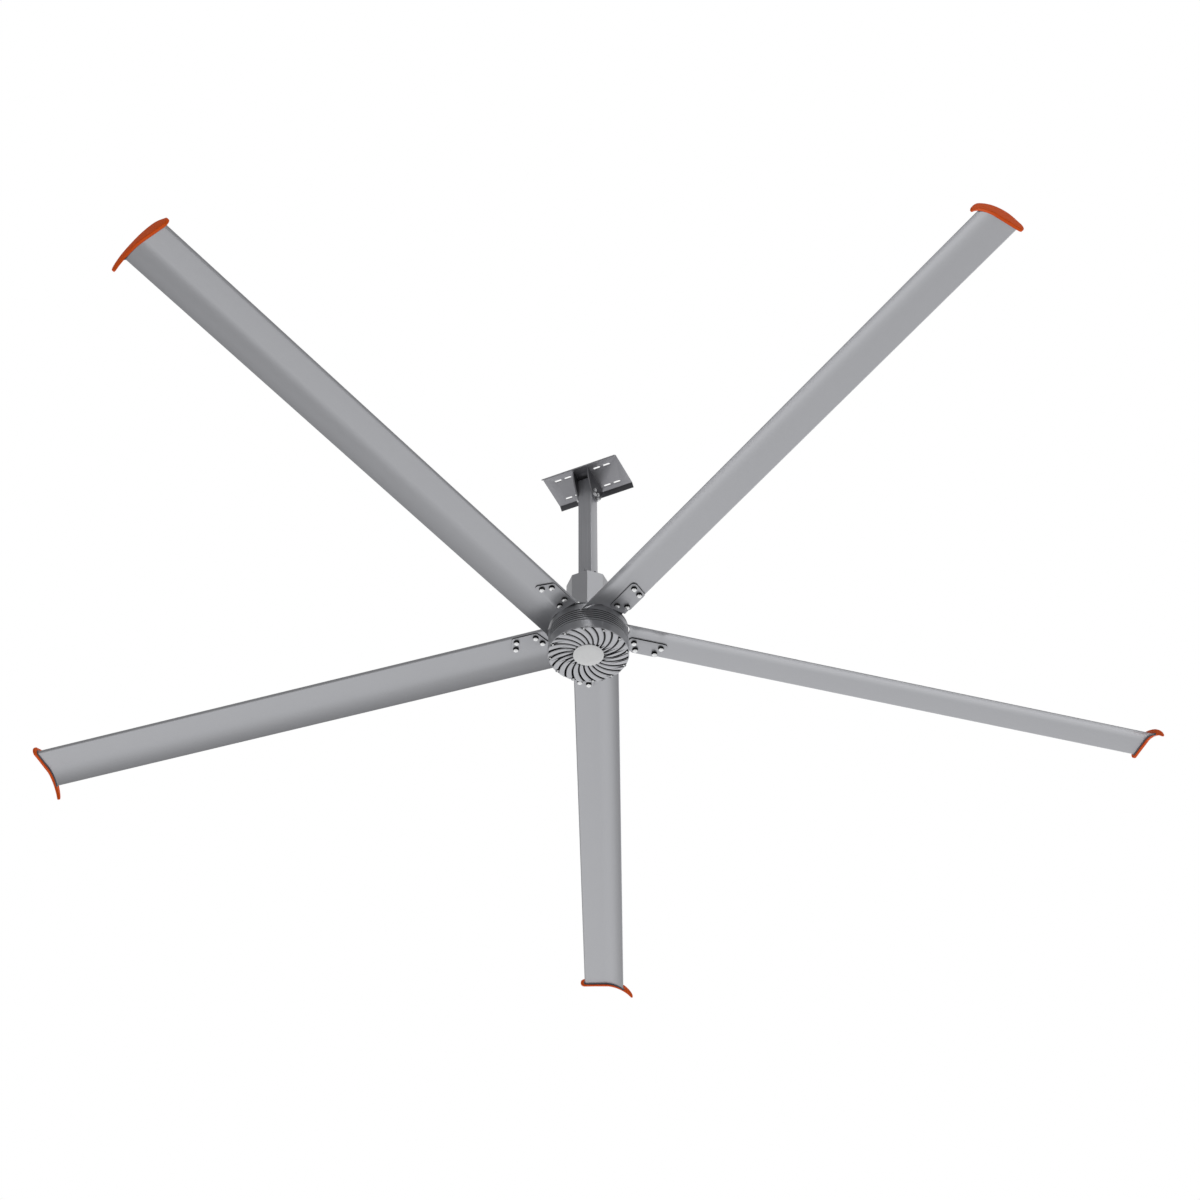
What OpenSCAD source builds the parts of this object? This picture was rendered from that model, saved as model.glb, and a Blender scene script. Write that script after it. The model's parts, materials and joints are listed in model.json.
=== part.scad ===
// Industrial ceiling fan: ceiling bracket, square downrod, gearless motor with a turning finned
// shell, and five long hollow blades with end caps.
// The origin is the centre of the ceiling plate's top face. +X runs along the plate and +Z is up.

/* [Ceiling bracket] */
// Length of the ceiling plate
plate_len = 424; // [360:2:520]
// Width of the flat of the ceiling plate
plate_wid = 210; // [200:2:260]
// Thickness of the ceiling plate
plate_t = 6; // [4:0.5:10]
// Length of each splayed edge flange
lip_len = 28; // [15:1:45]
// Angle of the edge flanges below the flat
lip_angle = 45; // [20:5:80]
// Length of each fixing slot
slot_len = 40; // [24:1:44]
// Width of each fixing slot
slot_wid = 14; // [9:0.5:16]
// Distance of the inner slots from the middle
slot_x_in = 85; // [80:1:95]
// Distance of the outer slots from the middle
slot_x_out = 141; // [135:1:150]
// Distance of both slot rows from the middle
slot_y = 68; // [50:1:80]
// Width of each hanging ear where it meets the plate
ear_wid = 186; // [150:2:196]
// Depth of each hanging ear below the plate
ear_drop = 160; // [150:1:200]
// Depth of the straight shoulder of each ear
ear_shoulder = 28; // [10:1:45]
// Radius of the round lower end of each ear
ear_round_r = 42; // [36:1:55]
// Thickness of each ear
ear_t = 8; // [5:0.5:12]
// Spacing of the ear bolts across the downrod
ear_bolt_y = 40; // [32:1:46]
// Spacing of the ear bolts along the downrod
ear_bolt_z = 31; // [28:1:36]
// Height of the lower ear bolts above the lower end of the ear
ear_bolt_rise = 20; // [18:1:26]

/* [Downrod] */
// Side of the square downrod
rod_side = 76; // [70:1:90]
// Wall of the square downrod
rod_wall = 5; // [3:0.5:6]
// Length of the downrod
rod_len = 1016; // [600:2:1600]
// Gap between the downrod and the ceiling plate
rod_top_gap = 17; // [5:1:30]
// Height of the square stub inside the downrod
stub_h = 370; // [350:5:420]
// Wall of the square stub
stub_wall = 5; // [3:0.5:6]
// Height of the downrod screws above the stub's flange
rod_screw_rise = 331; // [300:1:340]

/* [Housing] */
// Width of the octagonal housing across its flats
housing_wid = 205; // [196:1:240]
// Rise of the housing above the stub's flange
housing_rise = 248; // [150:2:290]
// Depth of the housing below the top of the stub's flange
housing_skirt = 42; // [26:1:48]
// Sheet thickness of the housing
housing_t = 2.5; // [1.5:0.5:4]

/* [Hub] */
// Thickness of the stub's flange and of the shaft's flange
flange_t = 12; // [8:1:16]
// Gap between the shaft's flange and the hub plate
hub_gap = 30; // [24:1:50]
// Radius of the hub plate and of the motor's shell
hub_r = 200; // [190:1:230]
// Thickness of the hub plate and of its arms
hub_t = 14; // [10:1:16]
// Reach of each hub arm from the axis
arm_reach = 415; // [400:1:440]
// Angle between each hub bolt and its arm
hub_bolt_angle = 22; // [18:1:26]

/* [Motor] */
// Height of the motor's shell
shell_h = 106; // [100:1:140]
// Wall of the motor's shell
shell_wall = 22; // [20:1:26]
// Number of cooling grooves round the shell
groove_count = 5; // [3:1:5]
// Pitch of the cooling grooves
groove_pitch = 13.3; // [11:0.1:14]
// Width of each cooling groove
groove_wid = 5; // [2:0.5:7]
// Depth of each cooling groove
groove_depth = 5; // [2:0.5:7]
// Height of the stator's laminated stack
stack_h = 50; // [40:1:54]
// Radial gap between the stator and the magnets
air_gap = 1; // [0.6:0.1:2]

/* [Bottom cover] */
// Radius of the bottom cover
cover_r = 202; // [200:1:206]
// Height of the bottom cover
cover_h = 56; // [50:1:80]
// Thickness of the bottom cover's slotted face
cover_face_t = 5; // [4:1:10]
// Number of spiral slots in the bottom cover
spiral_count = 24; // [12:1:28]
// Width of each spiral slot
spiral_wid = 8; // [5:0.5:10]
// Radius at which the spiral slots start
spiral_r_in = 82; // [82:1:95]
// Radius at which the spiral slots end, beyond the rim where they are open
spiral_r_out = 204; // [150:1:210]
// Angle that each spiral slot sweeps
spiral_sweep = 20; // [10:1:30]
// Radius of the round badge
badge_r = 76.5; // [60:0.5:80]
// Thickness of the round badge
badge_t = 3; // [3:0.5:8]

/* [Blades] */
// Radius at which each blade ends
blade_tip_r = 3046; // [1800:2:3700]
// Chord of the blade
blade_chord = 228; // [220:1:250]
// Distance of the leading edge ahead of the arm's middle line
blade_lead = 81; // [79:1:84]
// Height of the section above its flat underside
blade_h = 40; // [38:1:50]
// Length of the flat part of the underside
flat_len = 119; // [115:1:130]
// Drop of the trailing edge below the flat underside
tail_drop = 45; // [20:1:55]
// Radius of the nose
nose_r = 10; // [9:0.5:12]
// Thickness of the trailing edge
tail_t = 3; // [2:0.5:4]
// Wall of the hollow blade
skin_t = 2.5; // [2:0.1:3.2]
// Angle of the first blade from +X
first_angle = 257.6; // [0:0.1:360]
// Thickness of the clamp plate under each blade
clamp_t = 6; // [4:0.5:10]
// Radius of the blade bolts
bolt_r = 8; // [6:0.5:9]

/* [End caps] */
// Thickness of each end cap
cap_t = 15; // [8:1:24]
// Thickness of the seal between a blade and its cap
cap_seal_t = 4; // [2:0.5:10]
// Distance of the cap's nose ahead of the leading edge
cap_ahead = 24; // [15:1:35]
// Distance of the cap's tail behind the trailing edge
cap_behind = 57; // [20:1:70]
// Height of the cap above the blade's upper side
cap_above = 17; // [8:1:25]
// Depth of the cap below the blade's underside
cap_below = 11; // [6:1:16]

/* [Hidden] */
$fn = 48;
cut = 1;
fit = 0.05;
run_gap = 0.3;
bolt_clear = 0.5;
blade_count = 5;
blade_step = 360 / blade_count;

// Levels from the ceiling down
rod_top_z = -plate_t - rod_top_gap;
flange_z = rod_top_z - rod_len;
shaft_top_z = flange_z - flange_t;
shaft_flange_z = shaft_top_z - flange_t;
hub_top_z = shaft_flange_z - hub_gap;
hub_z = hub_top_z - hub_t;
shell_z = hub_z - shell_h;
cover_z = shell_z - cover_h;
blade_z = hub_z - skin_t;

// Fasteners: shank radius, width across the head's flats, head height
m16_flats = 3 * bolt_r;
m16_head = 1.25 * bolt_r;
m12_r = 6;
m12_flats = 19;
m12_head = 8;
m12_nut = 10;
m8_r = 4;
m8_head_r = 7;
m8_head = 5;
m6_r = 3;
m6_head_r = 5.5;
m6_head = 4;
washer_t = 3;
washer_r = 15;

// Ceiling bracket
ear_x = rod_side / 2;
round_steps = 24;
ear_arc_z = -plate_t - ear_drop + ear_round_r;
ear_low_z = -plate_t - ear_drop + ear_bolt_rise;
ear_bolt_places = [for (y = [-1, 1]) for (z = [0, 1]) [y * ear_bolt_y / 2, ear_low_z + z * ear_bolt_z]];

// Flange joint between the stub and the shaft
flange_circle_r = 70;
flange_bolt_count = 6;
shaft_flange_r = 88;
cable_r = 14;
rod_screw_z = flange_z + rod_screw_rise;
housing_top_z = flange_z + housing_rise;
housing_low_z = flange_z - housing_skirt;
housing_screw_len = housing_t + 3 * m8_head;

// Bearings: bore radius, outer radius, width, ball radius, ball count
upper_bearing = [30, 55, 22, 8, 12];
lower_bearing = [25, 45, 20, 6.5, 12];
bearing_lip = 4;
bearing_lip_in = 5;
upper_bearing_z = hub_z - 1 - upper_bearing[2];
shaft_neck_r = upper_bearing[0] + 4;
shaft_mid_r = upper_bearing[0] - 2;
boss_wall = 13;
shell_web_t = 12;
shield_t = 6;
shield_spigot = 4;
lower_bearing_z = shell_z - bearing_lip - lower_bearing[2];
lock_nut_t = 8;
lock_nut_r = 33;
shaft_end = 2;
shaft_low_z = lower_bearing_z - lock_nut_t - shaft_end;
hub_bore_r = upper_bearing[1] - bearing_lip_in;
seal_t = 10;

// Motor
shell_in_r = hub_r - shell_wall;
yoke_wall = 8;
yoke_h = stack_h + 30;
magnet_t = 6;
magnet_h = stack_h + 10;
magnet_count = 32;
magnet_share = 0.85;
magnet_out_r = shell_in_r - yoke_wall;
magnet_in_r = magnet_out_r - magnet_t;
stator_r = magnet_in_r - air_gap;
tooth_count = 36;
tooth_wid = 13;
tooth_tip_t = 4;
tooth_mouth = 4;
core_back_r = stator_r - 44;
core_in_r = core_back_r - 20;
stack_mid_z = (hub_z - shell_web_t + shell_z) / 2;
turn_h = 12;
turn_gap = 1;
key_wid = 10;
key_h = 8;
carrier_rim = 10;
carrier_spokes = 6;
carrier_spoke_wid = 18;
carrier_t = 30;
carrier_hub_r = shaft_mid_r + 14;
hub_bolt_circle_r = hub_r - 15;
hub_bolt_depth = 22;
shield_bolt_circle_r = shell_in_r + 9;
shield_bolt_count = 6;
shield_bolt_phase = 3;
groove_first = 38;

// Bottom cover
cover_wall = 4;
cover_gap = 1;
cover_edge = 4;
shield_r = cover_r - cover_wall - 1;
cover_top_z = shell_z - cover_gap;
cover_screw_count = 12;
cover_screw_r = cover_r - cover_wall - 7;
cover_screw_phase = 18;
cover_post_r = 8;
spiral_bow = 12;
spiral_phase = 8.5;
badge_edge = 1.5;

// Blade section. Y runs to the leading edge and Z is up from the flat underside.
tail_y = blade_lead - blade_chord;
bend_y = blade_lead - flat_len;
tail_run = blade_chord - flat_len;
tail_bend_r = (pow(tail_run, 2) + pow(tail_drop, 2)) / (2 * tail_drop);
tail_slope = 2 * atan(tail_drop / tail_run);
crest_y = blade_lead - 0.29 * blade_chord;
nose_steps = 10;
nose_end_angle = 60;
curve_steps = 12;
tail_solid = 52;
web_t = 2.5;
web_y_front = bend_y + 8;
web_y_rear = bend_y - 30;
plug_len = 30;
plug_wall = 3;

// Places along each blade from the axis
root_gap = 6;
clamp_mid_r = 312;
clamp_back_half = 110;
clamp_front_half = 66;
clamp_back_y = -22;
clamp_front_y = blade_lead - 3;
clamp_corner_r = 18;
bolt_row_back = [5.5, 71.5];
bolt_row_front = [51, 51];
bolt_places = [for (row = [bolt_row_back, bolt_row_front]) for (side = [-1, 1])
    [clamp_mid_r + side * row[1], row[0]]];
arm_back_y = -24;
arm_front_y = 67;
arm_corner_r = 20;
arm_slant = 34;

// Points of a circle from one angle to another
function arc(centre, r, from, to, steps) =
    [for (i = [0 : steps]) let (a = from + (to - from) * i / steps) centre + r * [cos(a), sin(a)]];

// Points of a Bezier curve after its first point
function bezier(a, b, c, d, steps) =
    [for (i = [1 : steps]) let (u = i / steps, v = 1 - u)
        v * v * v * a + 3 * v * v * u * b + 3 * v * u * u * c + u * u * u * d];

// The point reached from a point by a distance at an angle
function reach(from, distance, angle) = from + distance * [cos(angle), sin(angle)];

// Height of the underside at y, below the flat
function under_z(y) = y >= bend_y ? 0
    : sqrt(pow(tail_bend_r, 2) - pow(bend_y - y, 2)) - tail_bend_r;

// Points of the underside from the tail to the flat, raised by lift
function under_points(start_y, lift) =
    [for (i = [0 : curve_steps]) let (y = start_y + (bend_y - start_y) * i / curve_steps)
        [y, under_z(y) + lift]];

// The outer points of the section over its top, from the nose to the tail, moved in by inset
function top_points(inset) =
    let (nose = [blade_lead - nose_r, nose_r],
        r = nose_r - inset,
        start = reach(nose, r, nose_end_angle),
        crest = [crest_y, blade_h - inset],
        tail = reach([tail_y, -tail_drop], tail_t - inset, 90 + tail_slope),
        nose_pull = 0.42 * (start[0] - crest_y),
        crest_pull = 0.36 * (crest_y - tail_y))
    concat(arc(nose, r, -90, nose_end_angle, nose_steps),
        bezier(start, reach(start, nose_pull, nose_end_angle + 90), crest + [nose_pull, 0],
            crest, curve_steps),
        bezier(crest, crest - [crest_pull, 0], reach(tail, crest_pull, tail_slope * 0.86),
            tail, curve_steps));

outer_points = concat(under_points(tail_y, 0), top_points(0));
inner_points = concat(under_points(tail_y + tail_solid, skin_t),
    [for (p = top_points(skin_t)) if (p[0] > tail_y + tail_solid) p]);

// A corner rounded to radius r, between its neighbours a and b
function corner(a, p, b, r, steps = 6) =
    let (u = (a - p) / norm(a - p), v = (b - p) / norm(b - p),
        half = acos(u * v) / 2,
        centre = p + (u + v) / norm(u + v) * r / sin(half),
        start = p + u * r / tan(half) - centre,
        end = p + v * r / tan(half) - centre,
        from = atan2(start[1], start[0]),
        turn = atan2(start[0] * end[1] - start[1] * end[0], start * end))
    [for (i = [0 : steps]) reach(centre, r, from + turn * i / steps)];

// An outline with all its corners rounded to radius r
function rounded(points, r) = let (n = len(points))
    [for (i = [0 : n - 1]) each corner(points[(i + n - 1) % n], points[i], points[(i + 1) % n], r)];

// A bolt that hangs down from the origin: its shank goes up from there and its head is below
module hex_bolt(r, length, flats, head) {
    cylinder(r = r, h = length);
    translate([0, 0, -head]) cylinder(r = flats / 2 / cos(30), h = head, $fn = 6);
}

module round_screw(r, length, head_r, head) {
    cylinder(r = r, h = length);
    translate([0, 0, -head]) cylinder(r = head_r, h = head);
}

// Turns what is drawn along X to the place of blade i, counted from 1
module at_blade(i) rotate(first_angle + (i - 1) * blade_step) children();

module around(count, radius, phase = 0)
    for (i = [0 : count - 1]) rotate(phase + i * 360 / count) translate([radius, 0, 0]) children();

module slot_shape(length, width) {
    square([length - width, width], center = true);
    for (side = [-1, 1]) translate([side * (length - width) / 2, 0]) circle(width / 2);
}

// Extrudes a blade section, drawn in Y and Z, outwards from radius r
module along_blade(r, length)
    translate([r, 0, blade_z]) rotate([90, 0, 90]) linear_extrude(length) children();

module square_tube(side, wall, h) linear_extrude(h) difference() {
    square(side, center = true);
    square(side - 2 * wall, center = true);
}

module octagon(across, h) rotate(22.5) cylinder(r = across / 2 / cos(22.5), h = h, $fn = 8);

module ceiling_plate() color([0.45, 0.46, 0.48]) difference() {
    bend = plate_t * tan(lip_angle / 2);
    end = reach([plate_wid / 2, -plate_t], lip_len, -lip_angle);
    outer = end + plate_t * [sin(lip_angle), cos(lip_angle)];
    side = [[plate_wid / 2 + bend, 0], outer, end, [plate_wid / 2, -plate_t]];
    rotate([90, 0, 90]) linear_extrude(plate_len, center = true)
        polygon(concat(side, [for (i = [3 : -1 : 0]) [-side[i][0], side[i][1]]]));
    for (x = [-slot_x_out, -slot_x_in, slot_x_in, slot_x_out]) for (y = [-slot_y, slot_y])
        translate([x, y, -plate_t - cut]) linear_extrude(plate_t + 2 * cut)
            slot_shape(slot_len, slot_wid);
}

// An ear in the plane of Y and Z, with its inner face at x = 0
module ear() {
    shoulder = [ear_wid / 2, -plate_t - ear_shoulder];
    span = shoulder - [0, ear_arc_z];
    tangent_angle = atan2(span[1], span[0]) - acos(ear_round_r / norm(span));
    difference() {
        rotate([90, 0, 90]) linear_extrude(ear_t) polygon(concat(
            [[-shoulder[0], shoulder[1]], [-ear_wid / 2, -plate_t], [ear_wid / 2, -plate_t],
                shoulder],
            arc([0, ear_arc_z], ear_round_r, tangent_angle, -180 - tangent_angle, round_steps)));
        for (p = ear_bolt_places) translate([-cut, p[0], p[1]]) rotate([0, 90, 0])
            cylinder(r = m12_r + bolt_clear, h = ear_t + 2 * cut);
    }
}

module ear_right() color([0.4, 0.41, 0.43]) translate([ear_x, 0, 0]) ear();

module ear_left() color([0.4, 0.41, 0.43]) mirror([1, 0, 0]) translate([ear_x, 0, 0]) ear();

module ear_bolts() color([0.8, 0.81, 0.83]) for (p = ear_bolt_places)
    translate([-ear_x - ear_t, p[0], p[1]]) rotate([0, 90, 0])
        hex_bolt(m12_r, 2 * (ear_x + ear_t) + m12_nut + 3, m12_flats, m12_head);

module ear_nuts() color([0.8, 0.81, 0.83]) for (p = ear_bolt_places)
    translate([ear_x + ear_t, p[0], p[1]]) rotate([0, 90, 0]) difference() {
        cylinder(r = m12_flats / 2 / cos(30), h = m12_nut, $fn = 6);
        translate([0, 0, -cut]) cylinder(r = m12_r + fit, h = m12_nut + 2 * cut);
    }

// The places of the downrod screws, drawn as if each face looked along +X
module at_rod_screws() for (a = [0 : 90 : 270]) rotate(a)
    translate([rod_side / 2, 0, rod_screw_z]) rotate([0, -90, 0]) children();

module downrod() color([0.5, 0.51, 0.53]) difference() {
    translate([0, 0, flange_z]) square_tube(rod_side, rod_wall, rod_len);
    for (p = ear_bolt_places) translate([-rod_side / 2 - cut, p[0], p[1]]) rotate([0, 90, 0])
        cylinder(r = m12_r + bolt_clear, h = rod_side + 2 * cut);
    at_rod_screws() translate([0, 0, -cut]) cylinder(r = m8_r + fit, h = rod_wall + 2 * cut);
}

module stub_flange() color([0.42, 0.43, 0.45]) difference() {
    stub_side = rod_side - 2 * rod_wall - 2 * run_gap;
    union() {
        translate([0, 0, flange_z]) square_tube(stub_side, stub_wall, stub_h);
        translate([0, 0, shaft_top_z]) octagon(housing_wid - 2 * housing_t, flange_t);
    }
    translate([0, 0, shaft_top_z - cut]) {
        cylinder(r = cable_r, h = flange_t + 2 * cut);
        around(flange_bolt_count, flange_circle_r, 30)
            cylinder(r = m12_r + bolt_clear, h = flange_t + 2 * cut);
    }
    at_rod_screws() translate([0, 0, -cut])
        cylinder(r = m8_r + fit, h = rod_wall + run_gap + stub_wall + 2 * cut);
    at_housing_screws() translate([0, 0, -cut])
        cylinder(r = m8_r + fit, h = housing_screw_len + 2 * cut);
}

module rod_screws() color([0.15, 0.15, 0.16]) at_rod_screws()
    round_screw(m8_r, rod_wall + run_gap + stub_wall, m8_head_r, m8_head);

module at_housing_screws() for (a = [0 : 90 : 270]) rotate(a)
    translate([housing_wid / 2, 0, flange_z - flange_t / 2]) rotate([0, -90, 0]) children();

module housing() color([0.55, 0.56, 0.58]) difference() {
    translate([0, 0, housing_low_z]) octagon(housing_wid, housing_top_z - housing_low_z);
    translate([0, 0, housing_low_z - cut])
        octagon(housing_wid - 2 * housing_t, housing_top_z - housing_low_z - housing_t + cut);
    translate([0, 0, housing_top_z - housing_t - cut]) linear_extrude(housing_t + 2 * cut)
        square(rod_side + 2 * run_gap, center = true);
    at_housing_screws() translate([0, 0, -cut]) cylinder(r = m8_r + run_gap, h = housing_t + 2 * cut);
}

module housing_screws() color([0.6, 0.61, 0.63]) at_housing_screws()
    round_screw(m8_r, housing_screw_len, m8_head_r, m8_head);

module stator_shaft() color([0.62, 0.63, 0.65]) difference() {
    translate([0, 0, shaft_top_z]) mirror([0, 0, 1]) rotate_extrude($fn = 96) polygon([
        [0, 0],
        [shaft_flange_r, 0],
        [shaft_flange_r, flange_t],
        [shaft_neck_r, flange_t],
        [shaft_neck_r, shaft_top_z - upper_bearing_z - upper_bearing[2]],
        [upper_bearing[0] - fit, shaft_top_z - upper_bearing_z - upper_bearing[2]],
        [upper_bearing[0] - fit, shaft_top_z - upper_bearing_z + bearing_lip],
        [shaft_mid_r, shaft_top_z - upper_bearing_z + bearing_lip],
        [shaft_mid_r, shaft_top_z - lower_bearing_z - lower_bearing[2]],
        [lower_bearing[0] - fit, shaft_top_z - lower_bearing_z - lower_bearing[2]],
        [lower_bearing[0] - fit, shaft_top_z - shaft_low_z],
        [0, shaft_top_z - shaft_low_z]]);
    translate([0, 0, stack_mid_z]) cylinder(r = cable_r, h = shaft_top_z - stack_mid_z + cut);
    translate([0, 0, stack_mid_z + carrier_t]) rotate([0, 90, 0])
        cylinder(r = cable_r / 2, h = shaft_neck_r + cut);
    translate([0, 0, shaft_flange_z - cut]) around(flange_bolt_count, flange_circle_r, 30)
        cylinder(r = m12_r + bolt_clear, h = flange_t + 2 * cut);
    translate([-shaft_mid_r - cut, -key_wid / 2, stack_mid_z - carrier_t / 2])
        cube([key_h / 2 + cut, key_wid, carrier_t]);
}

module flange_bolts() color([0.8, 0.81, 0.83]) translate([0, 0, flange_z]) mirror([0, 0, 1])
    around(flange_bolt_count, flange_circle_r, 30)
        hex_bolt(m12_r, 2 * flange_t + m12_nut + 2, m12_flats, m12_head);

module flange_nuts() color([0.8, 0.81, 0.83]) translate([0, 0, shaft_flange_z - m12_nut])
    around(flange_bolt_count, flange_circle_r, 30) difference() {
        cylinder(r = m12_flats / 2 / cos(30), h = m12_nut, $fn = 6);
        translate([0, 0, -cut]) cylinder(r = m12_r + fit, h = m12_nut + 2 * cut);
    }

module shaft_key() color([0.5, 0.5, 0.52])
    translate([-shaft_mid_r - key_h / 2, -key_wid / 2, stack_mid_z - carrier_t / 2])
        cube([key_h, key_wid, carrier_t]);

module stator_carrier() color([0.6, 0.61, 0.63]) difference() {
    translate([0, 0, stack_mid_z]) linear_extrude(carrier_t, center = true) {
        difference() {
            circle(core_in_r - fit, $fn = 96);
            circle(core_in_r - carrier_rim, $fn = 96);
        }
        difference() {
            union() {
                circle(carrier_hub_r, $fn = 96);
                for (i = [0 : carrier_spokes - 1]) rotate(i * 360 / carrier_spokes)
                    translate([0, -carrier_spoke_wid / 2])
                        square([core_in_r - carrier_rim / 2, carrier_spoke_wid]);
            }
            circle(shaft_mid_r + fit, $fn = 96);
        }
    }
    translate([-shaft_mid_r - key_h / 2, -key_wid / 2, stack_mid_z - carrier_t / 2 - cut])
        cube([key_h, key_wid, carrier_t + 2 * cut]);
}

// The free room between two teeth, made smaller all round by margin
module tooth_gap(margin) {
    half = 180 / tooth_count;
    low = core_back_r + margin;
    high = stator_r - tooth_tip_t - margin;
    low_y = low * sin(half) - tooth_wid / 2 - margin;
    high_y = high * sin(half) - tooth_wid / 2 - margin;
    polygon([[low, -low_y], [high, -high_y], [high, high_y], [low, low_y]]);
}

module stator_core() color([0.35, 0.36, 0.38]) translate([0, 0, stack_mid_z])
    linear_extrude(stack_h, center = true) difference() {
        circle(stator_r, $fn = 96);
        circle(core_in_r, $fn = 96);
        for (i = [0 : tooth_count - 1]) rotate(i * 360 / tooth_count) {
            tooth_gap(0);
            translate([stator_r - tooth_tip_t - cut, -tooth_mouth / 2])
                square([tooth_tip_t + 2 * cut, tooth_mouth]);
        }
    }

module stator_windings() color([0.72, 0.4, 0.2]) translate([0, 0, stack_mid_z]) {
    linear_extrude(stack_h + 2 * turn_gap, center = true)
        for (i = [0 : tooth_count - 1]) rotate(i * 360 / tooth_count) tooth_gap(turn_gap);
    for (side = [-1, 1]) translate([0, 0, side * (stack_h + 2 * turn_gap + turn_h) / 2])
        rotate_extrude($fn = 96) translate([core_back_r + turn_gap, -turn_h / 2])
            square([stator_r - tooth_tip_t - core_back_r - 2 * turn_gap, turn_h]);
}

module lock_nut() color([0.5, 0.5, 0.52]) translate([0, 0, lower_bearing_z - lock_nut_t])
    difference() {
        cylinder(r = lock_nut_r, h = lock_nut_t);
        translate([0, 0, -cut]) cylinder(r = lower_bearing[0] + fit, h = lock_nut_t + 2 * cut);
        for (i = [0 : 3]) rotate(45 + i * 90)
            translate([lock_nut_r - lock_nut_t / 2, -lock_nut_t / 2, -cut])
                cube([lock_nut_t, lock_nut_t, lock_nut_t + 2 * cut]);
    }

// One ring of a ball bearing between two radii, with the ball's groove cut from it
module bearing_ring(size, r_in, r_out) rotate_extrude($fn = 96) difference() {
    translate([r_in, 0]) square([r_out - r_in, size[2]]);
    translate([(size[0] + size[1]) / 2, size[2] / 2]) circle(size[3] + run_gap);
}

function land(size) = (size[1] - size[0]) * 0.27;

module bearing_inner(size) bearing_ring(size, size[0], size[0] + land(size));

module bearing_outer(size) bearing_ring(size, size[1] - land(size), size[1] - fit);

module bearing_balls(size) translate([0, 0, size[2] / 2])
    around(size[4], (size[0] + size[1]) / 2) sphere(size[3]);

module upper_bearing_inner() color([0.75, 0.76, 0.78])
    translate([0, 0, upper_bearing_z]) bearing_inner(upper_bearing);

module upper_bearing_outer() color([0.75, 0.76, 0.78])
    translate([0, 0, upper_bearing_z]) bearing_outer(upper_bearing);

module upper_bearing_balls() color([0.85, 0.86, 0.88])
    translate([0, 0, upper_bearing_z]) bearing_balls(upper_bearing);

module lower_bearing_inner() color([0.75, 0.76, 0.78])
    translate([0, 0, lower_bearing_z]) bearing_inner(lower_bearing);

module lower_bearing_outer() color([0.75, 0.76, 0.78])
    translate([0, 0, lower_bearing_z]) bearing_outer(lower_bearing);

module lower_bearing_balls() color([0.85, 0.86, 0.88])
    translate([0, 0, lower_bearing_z]) bearing_balls(lower_bearing);

module shaft_seal() color([0.1, 0.1, 0.1]) translate([0, 0, hub_top_z - seal_t])
    rotate_extrude($fn = 96) translate([shaft_neck_r + run_gap, 0])
        square([hub_bore_r - fit - shaft_neck_r - run_gap, seal_t]);

module at_hub_bolts() for (i = [1 : blade_count]) for (side = [-1, 1])
    at_blade(i) rotate(side * hub_bolt_angle) translate([hub_bolt_circle_r, 0, 0]) children();

// The plan of one hub arm along X
module arm_plan() polygon(rounded([[0, arm_back_y], [arm_reach, arm_back_y],
    [arm_reach - arm_slant, arm_front_y], [0, arm_front_y]], arm_corner_r));

module hub_plate() color([0.62, 0.63, 0.65]) translate([0, 0, hub_z]) difference() {
    linear_extrude(hub_t) union() {
        circle(hub_r, $fn = 128);
        for (i = [1 : blade_count]) at_blade(i) arm_plan();
    }
    translate([0, 0, -cut]) {
        cylinder(r = hub_bore_r, h = hub_t + 2 * cut, $fn = 96);
        at_hub_bolts() cylinder(r = m12_r + bolt_clear, h = hub_t + 2 * cut);
        for (i = [1 : blade_count]) at_blade(i) for (p = bolt_places) translate([p[0], p[1], 0])
            cylinder(r = bolt_r + fit, h = hub_t + 2 * cut);
    }
}

module hub_bolts() color([0.8, 0.81, 0.83]) at_hub_bolts() translate([0, 0, hub_top_z])
    mirror([0, 0, 1]) hex_bolt(m12_r, hub_t + hub_bolt_depth - washer_t, m12_flats, m12_head);

module rotor_shell() color([0.32, 0.33, 0.35]) difference() {
    boss_r = upper_bearing[1] + boss_wall;
    seat = hub_z - upper_bearing_z;
    grooves = [for (i = [0 : groove_count - 1])
        shell_h - groove_first - i * groove_pitch];
    translate([0, 0, shell_z]) rotate_extrude($fn = 128) polygon(concat(
        [[shell_in_r, 0], [hub_r, 0]],
        [for (i = [groove_count - 1 : -1 : 0]) each [
            [hub_r, grooves[i] - groove_wid / 2],
            [hub_r - groove_depth, grooves[i] - groove_wid / 2],
            [hub_r - groove_depth, grooves[i] + groove_wid / 2],
            [hub_r, grooves[i] + groove_wid / 2]]],
        [[hub_r, shell_h], [upper_bearing[1], shell_h],
            [upper_bearing[1], shell_h - seat],
            [hub_bore_r, shell_h - seat],
            [hub_bore_r, shell_h - seat - bearing_lip],
            [boss_r, shell_h - seat - bearing_lip],
            [boss_r, shell_h - shell_web_t],
            [shell_in_r, shell_h - shell_web_t]]));
    at_hub_bolts() translate([0, 0, hub_z - hub_bolt_depth])
        cylinder(r = m12_r + fit, h = hub_bolt_depth + cut);
    translate([0, 0, shell_z - cut]) around(shield_bolt_count, shield_bolt_circle_r, shield_bolt_phase)
        cylinder(r = m8_r + fit, h = 4 * m8_head);
}

module rotor_yoke() color([0.4, 0.41, 0.43]) translate([0, 0, stack_mid_z])
    linear_extrude(yoke_h, center = true) difference() {
        circle(shell_in_r - fit, $fn = 96);
        circle(magnet_out_r, $fn = 96);
    }

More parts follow.
